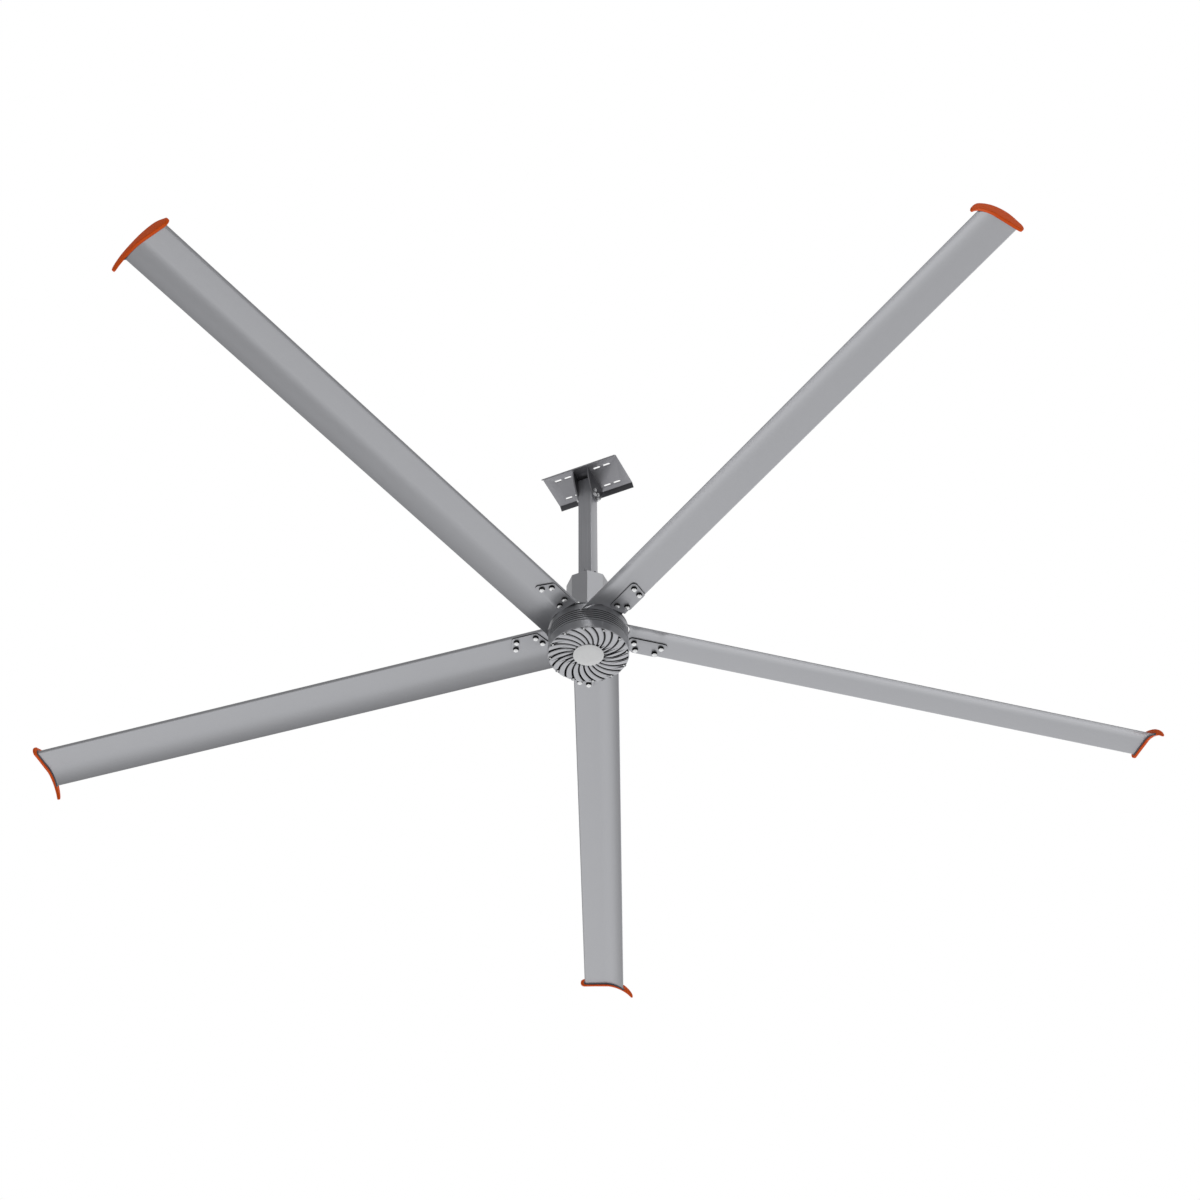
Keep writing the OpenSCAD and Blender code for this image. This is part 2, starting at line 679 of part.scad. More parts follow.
module magnets() color([0.25, 0.25, 0.27]) translate([0, 0, stack_mid_z])
    linear_extrude(magnet_h, center = true) {
        half = 180 / magnet_count * magnet_share;
        far = magnet_out_r + yoke_wall;
        for (i = [0 : magnet_count - 1]) rotate(i * 360 / magnet_count) intersection() {
            difference() {
                circle(magnet_out_r - fit, $fn = 96);
                circle(magnet_in_r, $fn = 96);
            }
            polygon([[0, 0], [far, -far * tan(half)], [far, far * tan(half)]]);
        }
    }

module end_shield() color([0.45, 0.46, 0.48]) difference() {
    boss_r = lower_bearing[1] + boss_wall;
    seat = shell_z - lower_bearing_z;
    lip_r = lower_bearing[1] - bearing_lip_in;
    translate([0, 0, shell_z]) rotate_extrude($fn = 128) polygon([
        [lower_bearing[1], 0], [lower_bearing[1], shield_spigot],
        [shell_in_r - fit, shield_spigot], [shell_in_r - fit, 0],
        [shield_r, 0], [shield_r, -shield_t],
        [boss_r, -shield_t], [boss_r, -seat - bearing_lip],
        [lip_r, -seat - bearing_lip], [lip_r, -seat],
        [lower_bearing[1], -seat]]);
    translate([0, 0, shell_z - shield_t - cut]) {
        around(shield_bolt_count, shield_bolt_circle_r, shield_bolt_phase)
            cylinder(r = m8_r + bolt_clear, h = shield_t + 2 * cut);
        around(cover_screw_count, cover_screw_r, cover_screw_phase)
            cylinder(r = m6_r + fit, h = shield_t + 2 * cut);
    }
}

module shield_screws() color([0.7, 0.71, 0.73]) translate([0, 0, shell_z - shield_t])
    around(shield_bolt_count, shield_bolt_circle_r, shield_bolt_phase)
        round_screw(m8_r, shield_t + 3 * m8_head, m8_head_r, m8_head);

// One spiral slot: a ring sector whose arc bows by spiral_bow
module spiral_slot() {
    from = [spiral_r_in, 0];
    to = reach([0, 0], spiral_r_out, -spiral_sweep);
    span = norm(to - from);
    bow_r = (pow(span / 2, 2) + pow(spiral_bow, 2)) / (2 * spiral_bow);
    angle = atan2(to[1] - from[1], to[0] - from[0]);
    centre = reach((from + to) / 2, bow_r - spiral_bow, angle - 90);
    intersection() {
        difference() {
            translate(centre) circle(bow_r + spiral_wid / 2, $fn = 128);
            translate(centre) circle(bow_r - spiral_wid / 2, $fn = 128);
        }
        difference() {
            circle(spiral_r_out, $fn = 128);
            circle(spiral_r_in, $fn = 128);
        }
        polygon([[0, 0], reach([0, 0], 2 * cover_r, -spiral_sweep - 20),
            reach([0, 0], 2 * cover_r, 20)]);
    }
}

module bottom_cover() color([0.55, 0.56, 0.58]) difference() {
    union() {
        translate([0, 0, cover_z]) rotate_extrude($fn = 128) polygon([
            [0, 0], [cover_r - cover_edge, 0], [cover_r, cover_edge],
            [cover_r, cover_top_z - cover_z], [cover_r - cover_wall, cover_top_z - cover_z],
            [cover_r - cover_wall, cover_face_t], [0, cover_face_t]]);
        translate([0, 0, cover_z + cover_face_t - cut])
            around(cover_screw_count, cover_screw_r, cover_screw_phase)
                cylinder(r = cover_post_r, h = shell_z - shield_t - cover_z - cover_face_t + cut);
    }
    translate([0, 0, cover_z - cut]) {
        linear_extrude(cover_face_t + 2 * cut) difference() {
            for (i = [0 : spiral_count - 1])
                rotate(spiral_phase + i * 360 / spiral_count) spiral_slot();
            around(cover_screw_count, cover_screw_r, cover_screw_phase) circle(cover_post_r);
        }
        around(cover_screw_count, cover_screw_r, cover_screw_phase)
            cylinder(r = m6_r + fit, h = cover_h);
    }
}

module cover_screws() color([0.8, 0.81, 0.83]) translate([0, 0, cover_z])
    around(cover_screw_count, cover_screw_r, cover_screw_phase)
        round_screw(m6_r, shell_z - cover_z, m6_head_r, m6_head);

module badge() color([0.85, 0.86, 0.86]) translate([0, 0, cover_z - badge_t])
    rotate_extrude($fn = 96) polygon([[0, 0], [badge_r - badge_edge, 0], [badge_r, badge_edge],
        [badge_r, badge_t], [0, badge_t]]);

module blade_section() difference() {
    polygon(outer_points);
    difference() {
        polygon(inner_points);
        for (y = [web_y_front, web_y_rear]) translate([y - web_t / 2, -tail_drop])
            square([web_t, tail_drop + blade_h]);
    }
}

// The hollow between the blade's front web and its nose, with its walls moved in by inset
module front_hollow(inset) intersection() {
    polygon(concat(under_points(web_y_rear, inset),
        [for (p = top_points(inset)) if (p[0] > web_y_rear) p]));
    translate([web_y_front + web_t / 2 + inset - skin_t, 0]) square([blade_chord, blade_h]);
}

module blade(i) color([0.66, 0.67, 0.69]) at_blade(i) difference() {
    along_blade(0, blade_tip_r) blade_section();
    translate([0, 0, blade_z - 2 * tail_drop])
        cylinder(r = hub_r + root_gap, h = 2 * (tail_drop + blade_h), $fn = 128);
    for (p = bolt_places) translate([p[0], p[1], blade_z - cut])
        cylinder(r = bolt_r + 1, h = skin_t + 2 * cut);
}

module clamp_plate(i) color([0.6, 0.61, 0.63]) at_blade(i)
    translate([0, 0, blade_z - clamp_t]) difference() {
        linear_extrude(clamp_t) polygon(rounded([
            [clamp_mid_r - clamp_back_half, clamp_back_y],
            [clamp_mid_r + clamp_back_half, clamp_back_y],
            [clamp_mid_r + clamp_front_half, clamp_front_y],
            [clamp_mid_r - clamp_front_half, clamp_front_y]], clamp_corner_r));
        for (p = bolt_places) translate([p[0], p[1], -cut])
            cylinder(r = bolt_r + 1, h = clamp_t + 2 * cut);
    }

module at_blade_bolts() for (i = [1 : blade_count]) at_blade(i) for (p = bolt_places)
    translate([p[0], p[1], blade_z - clamp_t - washer_t]) children();

module blade_bolts() color([0.85, 0.86, 0.88]) at_blade_bolts()
    hex_bolt(bolt_r, washer_t + clamp_t + skin_t + hub_t, m16_flats, m16_head);

module blade_washers() color([0.8, 0.81, 0.83]) at_blade_bolts() difference() {
    cylinder(r = washer_r, h = washer_t);
    translate([0, 0, -cut]) cylinder(r = bolt_r + 1 - fit, h = washer_t + 2 * cut);
}

module tip_seals() color([0.2, 0.21, 0.23]) for (i = [1 : blade_count]) at_blade(i)
    along_blade(blade_tip_r, cap_seal_t) difference() {
        polygon(outer_points);
        front_hollow(skin_t);
    }

// The outline of the end cap: a round nose, a high back and a tail that runs past the blade
function cap_points() =
    let (nose = [blade_lead + cap_ahead - 23, nose_r + 2],
        crest = [crest_y, blade_h + cap_above],
        tail_tip = [tail_y - cap_behind, -tail_drop - cap_behind * 0.95],
        tail_top = [tail_y - cap_behind * 0.1, -tail_drop + blade_h * 0.85],
        chin = [bend_y, -cap_below])
    concat(
        arc(nose, 23, -90, 70, nose_steps),
        bezier(reach(nose, 23, 70), reach(nose, 23, 70) + [-20, 7], crest + [30, 0], crest,
            curve_steps),
        bezier(crest, crest - [70, 0], tail_top + [45, 34], tail_top, curve_steps),
        bezier(tail_top, tail_top - [18, 16], tail_tip + [3, 30], tail_tip + [-3, 3], curve_steps),
        bezier(tail_tip + [-3, 3], tail_tip + [-3, -3], tail_tip + [3, -3], tail_tip + [5, 1], 4),
        bezier(tail_tip + [5, 1], tail_tip + [38, 48], chin - [60, 0], chin, curve_steps));

// An end cap, with a collar that is pushed through the seal into the blade
module tip_cap(i) color([0.78, 0.31, 0.12]) at_blade(i) {
    along_blade(blade_tip_r + cap_seal_t, cap_t) polygon(cap_points());
    along_blade(blade_tip_r - plug_len, plug_len + cap_seal_t + cut) difference() {
        front_hollow(skin_t + fit);
        front_hollow(skin_t + plug_wall);
    }
}

module blade_1() blade(1);
module blade_2() blade(2);
module blade_3() blade(3);
module blade_4() blade(4);
module blade_5() blade(5);
module clamp_plate_1() clamp_plate(1);
module clamp_plate_2() clamp_plate(2);
module clamp_plate_3() clamp_plate(3);
module clamp_plate_4() clamp_plate(4);
module clamp_plate_5() clamp_plate(5);
module tip_cap_1() tip_cap(1);
module tip_cap_2() tip_cap(2);
module tip_cap_3() tip_cap(3);
module tip_cap_4() tip_cap(4);
module tip_cap_5() tip_cap(5);

ceiling_plate();
ear_left();
ear_right();
ear_bolts();
ear_nuts();
downrod();
stub_flange();
rod_screws();
housing();
housing_screws();
stator_shaft();
flange_bolts();
flange_nuts();
shaft_key();
stator_carrier();
stator_core();
stator_windings();
lock_nut();
upper_bearing_inner();
upper_bearing_balls();
lower_bearing_inner();
lower_bearing_balls();
upper_bearing_outer();
lower_bearing_outer();
shaft_seal();
hub_plate();
hub_bolts();
rotor_shell();
rotor_yoke();
magnets();
end_shield();
shield_screws();
bottom_cover();
cover_screws();
badge();
blade_1();
blade_2();
blade_3();
blade_4();
blade_5();
clamp_plate_1();
clamp_plate_2();
clamp_plate_3();
clamp_plate_4();
clamp_plate_5();
blade_bolts();
blade_washers();
tip_seals();
tip_cap_1();
tip_cap_2();
tip_cap_3();
tip_cap_4();
tip_cap_5();
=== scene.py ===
"""An industrial ceiling fan: five long blades under a slotted ceiling plate, in metres, +Z up.

Sizes are written in millimetres and angles in degrees, unless a comment says otherwise.
"""

import json
import math

import bmesh
import bpy
from mathutils import Matrix, Vector
from mathutils.geometry import tessellate_polygon


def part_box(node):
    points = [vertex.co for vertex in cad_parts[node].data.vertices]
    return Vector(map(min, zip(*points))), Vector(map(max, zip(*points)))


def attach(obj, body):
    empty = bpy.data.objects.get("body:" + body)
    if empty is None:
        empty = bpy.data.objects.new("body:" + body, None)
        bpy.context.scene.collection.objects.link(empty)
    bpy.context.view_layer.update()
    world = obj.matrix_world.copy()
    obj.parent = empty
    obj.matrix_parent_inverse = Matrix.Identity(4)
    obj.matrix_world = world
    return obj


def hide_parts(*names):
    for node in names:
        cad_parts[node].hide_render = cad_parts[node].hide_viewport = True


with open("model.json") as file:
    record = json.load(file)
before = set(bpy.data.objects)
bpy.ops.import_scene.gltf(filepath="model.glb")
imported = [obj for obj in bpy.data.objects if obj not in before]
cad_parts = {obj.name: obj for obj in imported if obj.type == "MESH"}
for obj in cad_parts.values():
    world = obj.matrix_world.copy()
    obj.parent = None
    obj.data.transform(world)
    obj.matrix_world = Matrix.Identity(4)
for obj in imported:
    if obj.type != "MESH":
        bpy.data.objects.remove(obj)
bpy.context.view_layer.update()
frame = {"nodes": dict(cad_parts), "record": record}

MM = 0.001
BLADES = 5
FIRST_ANGLE = 257.6
BLADE_TURNS = [FIRST_ANGLE + i * 360 / BLADES for i in range(BLADES)]
CIRCLE = 96
FINE_CIRCLE = 160
AXIS_R = 0.01  # stands for the axis, so that no ring of points collapses


def low(node):
    """The lowest corner of a CAD node."""
    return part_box(node)[0] / MM


def high(node):
    """The highest corner of a CAD node."""
    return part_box(node)[1] / MM


# Outlines


def arc(centre, radius, start, end, steps):
    """Points of a circle from one angle to another."""
    angles = [math.radians(start + (end - start) * i / steps) for i in range(steps + 1)]
    return [
        Vector((centre[0] + radius * math.cos(a), centre[1] + radius * math.sin(a)))
        for a in angles
    ]


def polar(radius, angle):
    return Vector((radius * math.cos(math.radians(angle)), radius * math.sin(math.radians(angle))))


def heading(vector):
    return math.degrees(math.atan2(vector.y, vector.x))


def bezier(a, b, c, d, steps):
    """Points of a Bezier curve after its first point."""
    a, b, c, d = Vector(a), Vector(b), Vector(c), Vector(d)
    points = []
    for i in range(1, steps + 1):
        u = i / steps
        v = 1 - u
        points.append(v**3 * a + 3 * v * v * u * b + 3 * v * u * u * c + u**3 * d)
    return points


def rounded(points, radius, steps=5):
    """An outline with its corners rounded. radius is one number, or one for each corner."""
    points = [Vector(p) for p in points]
    radii = radius if isinstance(radius, (list, tuple)) else [radius] * len(points)
    outline = []
    for i, (p, r) in enumerate(zip(points, radii)):
        if r <= 0:
            outline.append(p)
            continue
        u = (points[i - 1] - p).normalized()
        v = (points[(i + 1) % len(points)] - p).normalized()
        half = math.acos(max(-1, min(1, u.dot(v)))) / 2
        centre = p + (u + v).normalized() * r / math.sin(half)
        first = p + u * r / math.tan(half) - centre
        last = p + v * r / math.tan(half) - centre
        start = heading(first)
        turn = math.degrees(math.atan2(first.x * last.y - first.y * last.x, first.dot(last)))
        outline += arc(centre, r, start, start + turn, steps)
    return outline


def slot_outline(length, width, centre, steps=8):
    """A slot with round ends, along X."""
    half = (length - width) / 2
    right = arc((centre[0] + half, centre[1]), width / 2, -90, 90, steps)
    left = arc((centre[0] - half, centre[1]), width / 2, 90, 270, steps)
    return right + left


def polygon(sides, across, phase):
    """A regular polygon of a width across its flats."""
    radius = across / 2 / math.cos(math.pi / sides)
    return [polar(radius, phase + i * 360 / sides) for i in range(sides)]


def moved_in(points, distance, sharpest=0.4):
    """An outline moved to its left, which is into the material. sharpest limits the reach of
    sharp corners."""
    if distance == 0:
        return points
    moved = []
    for i, p in enumerate(points):
        u = (p - points[i - 1]).normalized()
        v = (points[(i + 1) % len(points)] - p).normalized()
        side = Vector((-u.y - v.y, u.x + v.x)).normalized()
        moved.append(p + side * distance / max(sharpest, side.dot(Vector((-u.y, u.x)))))
    return moved


def wound(points, counterclockwise):
    area = sum(a.x * b.y - b.x * a.y for a, b in zip(points, points[1:] + points[:1]))
    return points if (area > 0) == counterclockwise else points[::-1]


# Parts of a mesh, each a list of points and a list of faces


def level(z):
    """Puts a point of an outline at a height."""
    return lambda p: Vector((p.x, p.y, z))


def upright(x):
    """Puts a point of an outline that is drawn in Y and Z at a place along X."""
    return lambda p: Vector((x, p.x, p.y))


def solid(loops, levels, keep_outer=False):
    """A prism of an outline and its holes. Each level is (inset, place), and place puts a
    point of the outline in space."""
    loops = [wound([Vector(p) for p in loop], i == 0) for i, loop in enumerate(loops)]
    verts, faces = [], []
    for inset, place in levels:
        for i, loop in enumerate(loops):
            inward = 0 if keep_outer and i == 0 else inset
            verts += [place(p) for p in moved_in(loop, inward)]
    count = sum(len(loop) for loop in loops)
    for layer in range(len(levels) - 1):
        start = layer * count
        for loop in loops:
            n = len(loop)
            for k in range(n):
                a, b = start + k, start + (k + 1) % n
                faces.append((a, b, b + count, a + count))
            start += n
    top = (len(levels) - 1) * count
    for a, b, c in tessellate_polygon([[p.to_3d() for p in loop] for loop in loops]):
        faces.append((c, b, a))
        faces.append((a + top, b + top, c + top))
    return verts, faces


def quarter_round(across, rise, steps):
    """Insets and rises of a rounded rim, from its face to its side."""
    angles = [math.pi / 2 * i / steps for i in range(steps + 1)]
    return [(across * (1 - math.sin(a)), rise * (1 - math.cos(a))) for a in angles]


def edge_levels(start, end, edge, steps=3):
    """Insets and heights of a prism whose two rims are rounded by edge."""
    rim = quarter_round(edge, edge, steps)
    below = [(inset, start + rise) for inset, rise in rim]
    above = [(inset, end - rise) for inset, rise in reversed(rim)]
    return below + above


def plate(loops, bottom, top, edge, keep_outer=False):
    """A plate that lies flat, with rounded rims."""
    levels = [(inset, level(z)) for inset, z in edge_levels(bottom, top, edge)]
    return solid(loops, levels, keep_outer)


def upright_plate(outline, start, end, edge):
    """A plate whose outline is drawn in Y and Z and that is thick along X."""
    levels = [(inset, upright(x)) for inset, x in edge_levels(start, end, edge)]
    return solid([outline], levels)


def lathe(profile, steps=CIRCLE):
    """A closed profile of (radius, height) turned round the Z axis."""
    n = len(profile)
    verts, faces = [], []
    for i in range(steps):
        a = 2 * math.pi * i / steps
        verts += [Vector((r * math.cos(a), r * math.sin(a), z)) for r, z in profile]
    for i in range(steps):
        j = (i + 1) % steps
        for k in range(n):
            m = (k + 1) % n
            faces.append((i * n + k, i * n + m, j * n + m, j * n + k))
    return verts, faces


def band(inner, outer, bottom, top):
    """A plain ring."""
    return lathe([(inner, bottom), (outer, bottom), (outer, top), (inner, top)], FINE_CIRCLE)


def joined(*parts):
    verts, faces = [], []
    for part_verts, part_faces in parts:
        start = len(verts)
        verts += part_verts
        faces += [tuple(start + k for k in face) for face in part_faces]
    return verts, faces


def placed(part, matrix):
    return [matrix @ v for v in part[0]], part[1]


def at(x=0, y=0, z=0, turn=0):
    """A shift followed by a turn round the Z axis."""
    return Matrix.Rotation(math.radians(turn), 4, "Z") @ Matrix.Translation((x, y, z))


def on_side(x, y, z):
    """A seat on a face that looks along X, away from the origin."""
    lean = Matrix.Rotation(-math.copysign(math.pi / 2, x), 4, "Y")
    return Matrix.Translation((x, y, z)) @ lean


# Fasteners. Each hangs below its seat at the origin. M12 and M16 are widths across flats, and a
# round head is its radius and height.

M8_HEAD = (7, 5)
M12, M12_HEAD, M12_NUT = 19, 8, 10
M16, M16_HEAD = 24, 10
HEX_SIDE_SHARE = 0.86
CROWN_SETBACK = 0.4
CROWN_DEPTH = 0.1
CROWN_SHARE = 0.44
CROWN_SLOPE_SHARE = 0.04
DOME_SHARE = 0.07
DOME_RING_SHARES = (1, 0.9, 0.75, 0.6, 0.45, 0.3, 0.15, 0)
WASHER_BEVEL_SHARES = (0.2, 0.25)
SOCKET_SHARE, SOCKET_OUTER_SHARE = 0.45, 0.46
HEAD_SHOULDER_SHARES = ((1, 0.55), (0.8, 0.92))
HEAD_CIRCLE = 24
WASHER_CIRCLE = 32


def hex_sides(flats, head):
    """The sides of a hexagon head."""
    return solid([polygon(6, flats, 0)], [(0, level(0)), (0, level(-head * HEX_SIDE_SHARE))])


def hex_crown(flats, head):
    """The chamfered end of a hexagon head, slightly domed."""
    rim_z = CROWN_SETBACK - head
    chamfer = solid(
        [polygon(6, flats, 0)],
        [(0, level(-head * HEX_SIDE_SHARE)), (flats * CROWN_SLOPE_SHARE, level(rim_z))],
    )
    dome = [(AXIS_R, rim_z + CROWN_DEPTH)]
    for share in DOME_RING_SHARES:
        radius = max(AXIS_R, flats * CROWN_SHARE * share)
        dome.append((radius, rim_z - flats * DOME_SHARE * (1 - share**2)))
    return joined(chamfer, lathe(dome, HEAD_CIRCLE))


def washer(inner, outer, thick):
    """A flat washer with a bevelled lower rim."""
    bevel, bevel_rise = (thick * share for share in WASHER_BEVEL_SHARES)
    profile = [(inner, 0), (outer, 0), (outer, bevel_rise - thick), (outer - bevel, -thick)]
    return lathe(profile + [(inner, -thick)], WASHER_CIRCLE)


def round_head(radius, height):
    """A low round screw head with a hexagon socket."""
    socket_r, floor_z = radius * SOCKET_SHARE, -height / 2
    profile = [(socket_r, 0), (radius, 0)]
    profile += [(radius * out, -height * down) for out, down in HEAD_SHOULDER_SHARES]
    profile += [(socket_r, -height), (socket_r, floor_z)]
    outer_r = radius * SOCKET_OUTER_SHARE
    socket = lathe([(AXIS_R, floor_z), (outer_r, floor_z), (outer_r, 0), (AXIS_R, 0)], 6)
    return joined(lathe(profile, HEAD_CIRCLE), socket)


# Materials

GRAIN_DETAIL, GRAIN_ROUGHNESS = 6, 0.6
CLOUD_SCALE, CLOUD_DETAIL = 3.5, 3
GRAIN_SHARE = 0.6
NOISE_LOW, NOISE_HIGH = 0.3, 0.7
WEAR_START, WEAR_END = 0.53, 0.62
WEAR_GAIN, WEAR_LIFT = 1.9, 0.06
BUMP_HEIGHT_M = 0.0006


def linear(grey):
    """An sRGB value from 0 to 255 as a linear one."""
    s = grey / 255
    return s / 12.92 if s <= 0.04045 else ((s + 0.055) / 1.055) ** 2.4


def finish(
    name,
    srgb,
    roughness,
    metallic,
    stretch=(1, 1, 1),
    scale=60.0,
    tone=0.05,
    bump=0.05,
    wear=0.0,
    spread=0.06,
    specular=0.5,
):
    """A surface whose colour, roughness and height vary with fine noise. stretch is how much
    finer the grain is along each axis of the piece, tone and spread are how far the colour and
    the roughness vary, and wear lightens sharp edges."""
    material = bpy.data.materials.new(name)
    material.use_nodes = True
    nodes, links = material.node_tree.nodes, material.node_tree.links
    shader = nodes["Principled BSDF"]
    shader.inputs["Metallic"].default_value = metallic
    shader.inputs["Specular IOR Level"].default_value = specular
    place = nodes.new("ShaderNodeTexCoord")
    mapping = nodes.new("ShaderNodeMapping")
    mapping.inputs["Scale"].default_value = stretch
    links.new(place.outputs["Object"], mapping.inputs["Vector"])
    grain = nodes.new("ShaderNodeTexNoise")
    grain.inputs["Scale"].default_value = scale
    grain.inputs["Detail"].default_value = GRAIN_DETAIL
    grain.inputs["Roughness"].default_value = GRAIN_ROUGHNESS
    links.new(mapping.outputs["Vector"], grain.inputs["Vector"])
    cloud = nodes.new("ShaderNodeTexNoise")
    cloud.inputs["Scale"].default_value = CLOUD_SCALE
    cloud.inputs["Detail"].default_value = CLOUD_DETAIL
    links.new(place.outputs["Object"], cloud.inputs["Vector"])
    cloud_part = nodes.new("ShaderNodeMath")
    cloud_part.operation = "MULTIPLY"
    cloud_part.inputs[1].default_value = 1 - GRAIN_SHARE
    links.new(cloud.outputs["Fac"], cloud_part.inputs[0])
    blend = nodes.new("ShaderNodeMath")
    blend.operation = "MULTIPLY_ADD"
    blend.inputs[1].default_value = GRAIN_SHARE
    links.new(grain.outputs["Fac"], blend.inputs[0])
    links.new(cloud_part.outputs[0], blend.inputs[2])
    ramp = nodes.new("ShaderNodeValToRGB")
    base = [linear(v) for v in srgb]
    ramp.color_ramp.elements[0].position = NOISE_LOW
    ramp.color_ramp.elements[0].color = [v * (1 - tone) for v in base] + [1]
    ramp.color_ramp.elements[1].position = NOISE_HIGH
    ramp.color_ramp.elements[1].color = [min(1, v * (1 + tone)) for v in base] + [1]
    links.new(blend.outputs[0], ramp.inputs["Fac"])
    colour = ramp.outputs["Color"]
    if wear:
        geometry = nodes.new("ShaderNodeNewGeometry")
        edges = nodes.new("ShaderNodeMapRange")
        edges.inputs["From Min"].default_value = WEAR_START
        edges.inputs["From Max"].default_value = WEAR_END
        edges.inputs["To Max"].default_value = wear
        links.new(geometry.outputs["Pointiness"], edges.inputs["Value"])
        mix = nodes.new("ShaderNodeMix")
        mix.data_type = "RGBA"
        worn = [min(1, v * WEAR_GAIN + WEAR_LIFT) for v in base]
        links.new(edges.outputs["Result"], mix.inputs["Factor"])
        links.new(colour, mix.inputs["A"])
        mix.inputs["B"].default_value = worn + [1]
        colour = mix.outputs["Result"]
    links.new(colour, shader.inputs["Base Color"])
    shine = nodes.new("ShaderNodeMapRange")
    shine.inputs["From Min"].default_value = NOISE_LOW
    shine.inputs["From Max"].default_value = NOISE_HIGH
    shine.inputs["To Min"].default_value = roughness - spread
    shine.inputs["To Max"].default_value = roughness + spread
    links.new(blend.outputs[0], shine.inputs["Value"])
    links.new(shine.outputs["Result"], shader.inputs["Roughness"])
    height = nodes.new("ShaderNodeBump")
    height.inputs["Strength"].default_value = bump
    height.inputs["Distance"].default_value = BUMP_HEIGHT_M
    links.new(grain.outputs["Fac"], height.inputs["Height"])
    links.new(height.outputs["Normal"], shader.inputs["Normal"])
    return material


ALONG_ROD, ALONG_HOUSING, ACROSS_BADGE = (1, 1, 0.015), (1, 1, 0.1), (1, 12, 1)
ALONG_BLADE, ALONG_CLAMP = (0.02, 1, 1), (0.05, 1, 1)
TURNED, STACKED, WOUND = (1, 1, 12), (1, 1, 60), (30, 30, 1)

FINISH_TABLE = [
    ("bracket_paint", (157, 157, 161), 0.34, 0.75, dict(scale=700, bump=0.2, wear=0.35)),
    # ear_paint is darker than bracket_paint as painted shade, on the ears under the plate and on
    # the plate's far lip.
    ("ear_paint", (84, 84, 88), 0.38, 0.5, dict(scale=700, bump=0.15, wear=0.5)),
    (
        "rod_paint",
        (186, 187, 192),
        0.34,
        0.5,
        dict(stretch=ALONG_ROD, scale=150, tone=0.1, bump=0.15, wear=0.3),
    ),
    (
        "housing_sheet",
        (186, 187, 191),
        0.36,
        0.45,
        dict(stretch=ALONG_HOUSING, scale=400, bump=0.1, wear=0.4),
    ),
    ("cast_hub", (88, 89, 92), 0.36, 0.8, dict(scale=500, bump=0.15, wear=0.4)),
    ("shell_paint", (152, 153, 157), 0.34, 0.4, dict(scale=600, bump=0.12, wear=0.5)),
    ("cover_cast", (200, 201, 205), 0.3, 0.65, dict(scale=500, bump=0.2, wear=0.3)),
    (
        "badge_plate",
        (246, 247, 248),
        0.4,
        0.1,
        dict(stretch=ACROSS_BADGE, scale=120, tone=0.02, bump=0.05),
    ),
    (
        "blade_alloy",
        (191, 192, 196),
        0.32,
        0.6,
        dict(stretch=ALONG_BLADE, scale=260, tone=0.012, bump=0.02, spread=0.02),
    ),
    (
        "clamp_alloy",
        (186, 187, 191),
        0.34,
        0.65,
        dict(stretch=ALONG_CLAMP, scale=260, tone=0.02, bump=0.05, wear=0.2),
    ),
    ("zinc", (248, 249, 250), 0.26, 0.8, dict(scale=900, tone=0.03, bump=0.06)),
    ("black_steel", (30, 30, 33), 0.42, 0.4, dict(scale=900, bump=0.15)),
    ("steel", (176, 177, 180), 0.3, 0.9, dict(stretch=TURNED, scale=160, bump=0.1)),
    ("lamination", (96, 97, 101), 0.45, 0.7, dict(stretch=STACKED, scale=60, bump=0.4)),
    ("copper", (176, 100, 52), 0.35, 0.8, dict(stretch=WOUND, scale=40, tone=0.12, bump=0.5)),
    ("magnet", (88, 88, 92), 0.35, 0.6, dict(scale=500, bump=0.1)),
    ("seal_rubber", (28, 28, 30), 0.75, 0.0, dict(scale=900, bump=0.3)),
    ("seal_grey", (104, 112, 122), 0.45, 0.1, dict(scale=700, bump=0.15)),
    (
        "cap_orange",
        (248, 97, 24),
        0.5,
        0.0,
        dict(scale=600, tone=0.03, bump=0.08, wear=0.1, specular=0.15),
    ),
]
FINISHES = {
    name: finish(name, srgb, roughness, metallic, **grain)
    for name, srgb, roughness, metallic, grain in FINISH_TABLE
}

for entry in frame["record"]["subparts"]:
    node = frame["nodes"][entry["node"]]
    node.data.materials.clear()
    node.data.materials.append(FINISHES[entry["material_slot"]])

MERGE_M = 1e-6
SHARP_ANGLE = 32


def piece(name, part, slot, body, *nodes, turn=0.0):
    """A finished mesh that rides on a body and stands for the named CAD nodes."""
    mesh = bpy.data.meshes.new(name)
    mesh.from_pydata([v * MM for v in part[0]], [], part[1])
    work = bmesh.new()
    work.from_mesh(mesh)
    bmesh.ops.remove_doubles(work, verts=work.verts, dist=MERGE_M)
    bmesh.ops.recalc_face_normals(work, faces=work.faces)
    work.to_mesh(mesh)
    work.free()
    mesh.polygons.foreach_set("use_smooth", [True] * len(mesh.polygons))
    mesh.set_sharp_from_angle(angle=math.radians(SHARP_ANGLE))
    mesh.materials.append(FINISHES[slot])
    made = bpy.data.objects.new(name, mesh)
    bpy.context.scene.collection.objects.link(made)
    made.rotation_euler.z = math.radians(turn)
    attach(made, body)
    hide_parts(*nodes)


# Ceiling plate, with its long edges bent down

PLATE_FLAT_Y = 103.3
PLATE_T = 6
PLATE_EDGE = 0.6
SLOT = (40, 14)
SLOT_X = (85, 141)
SLOT_Y = 68
BEND_R = 4
BEND_STEPS = 6
LIP = 26.3
LIP_ANGLE = 45

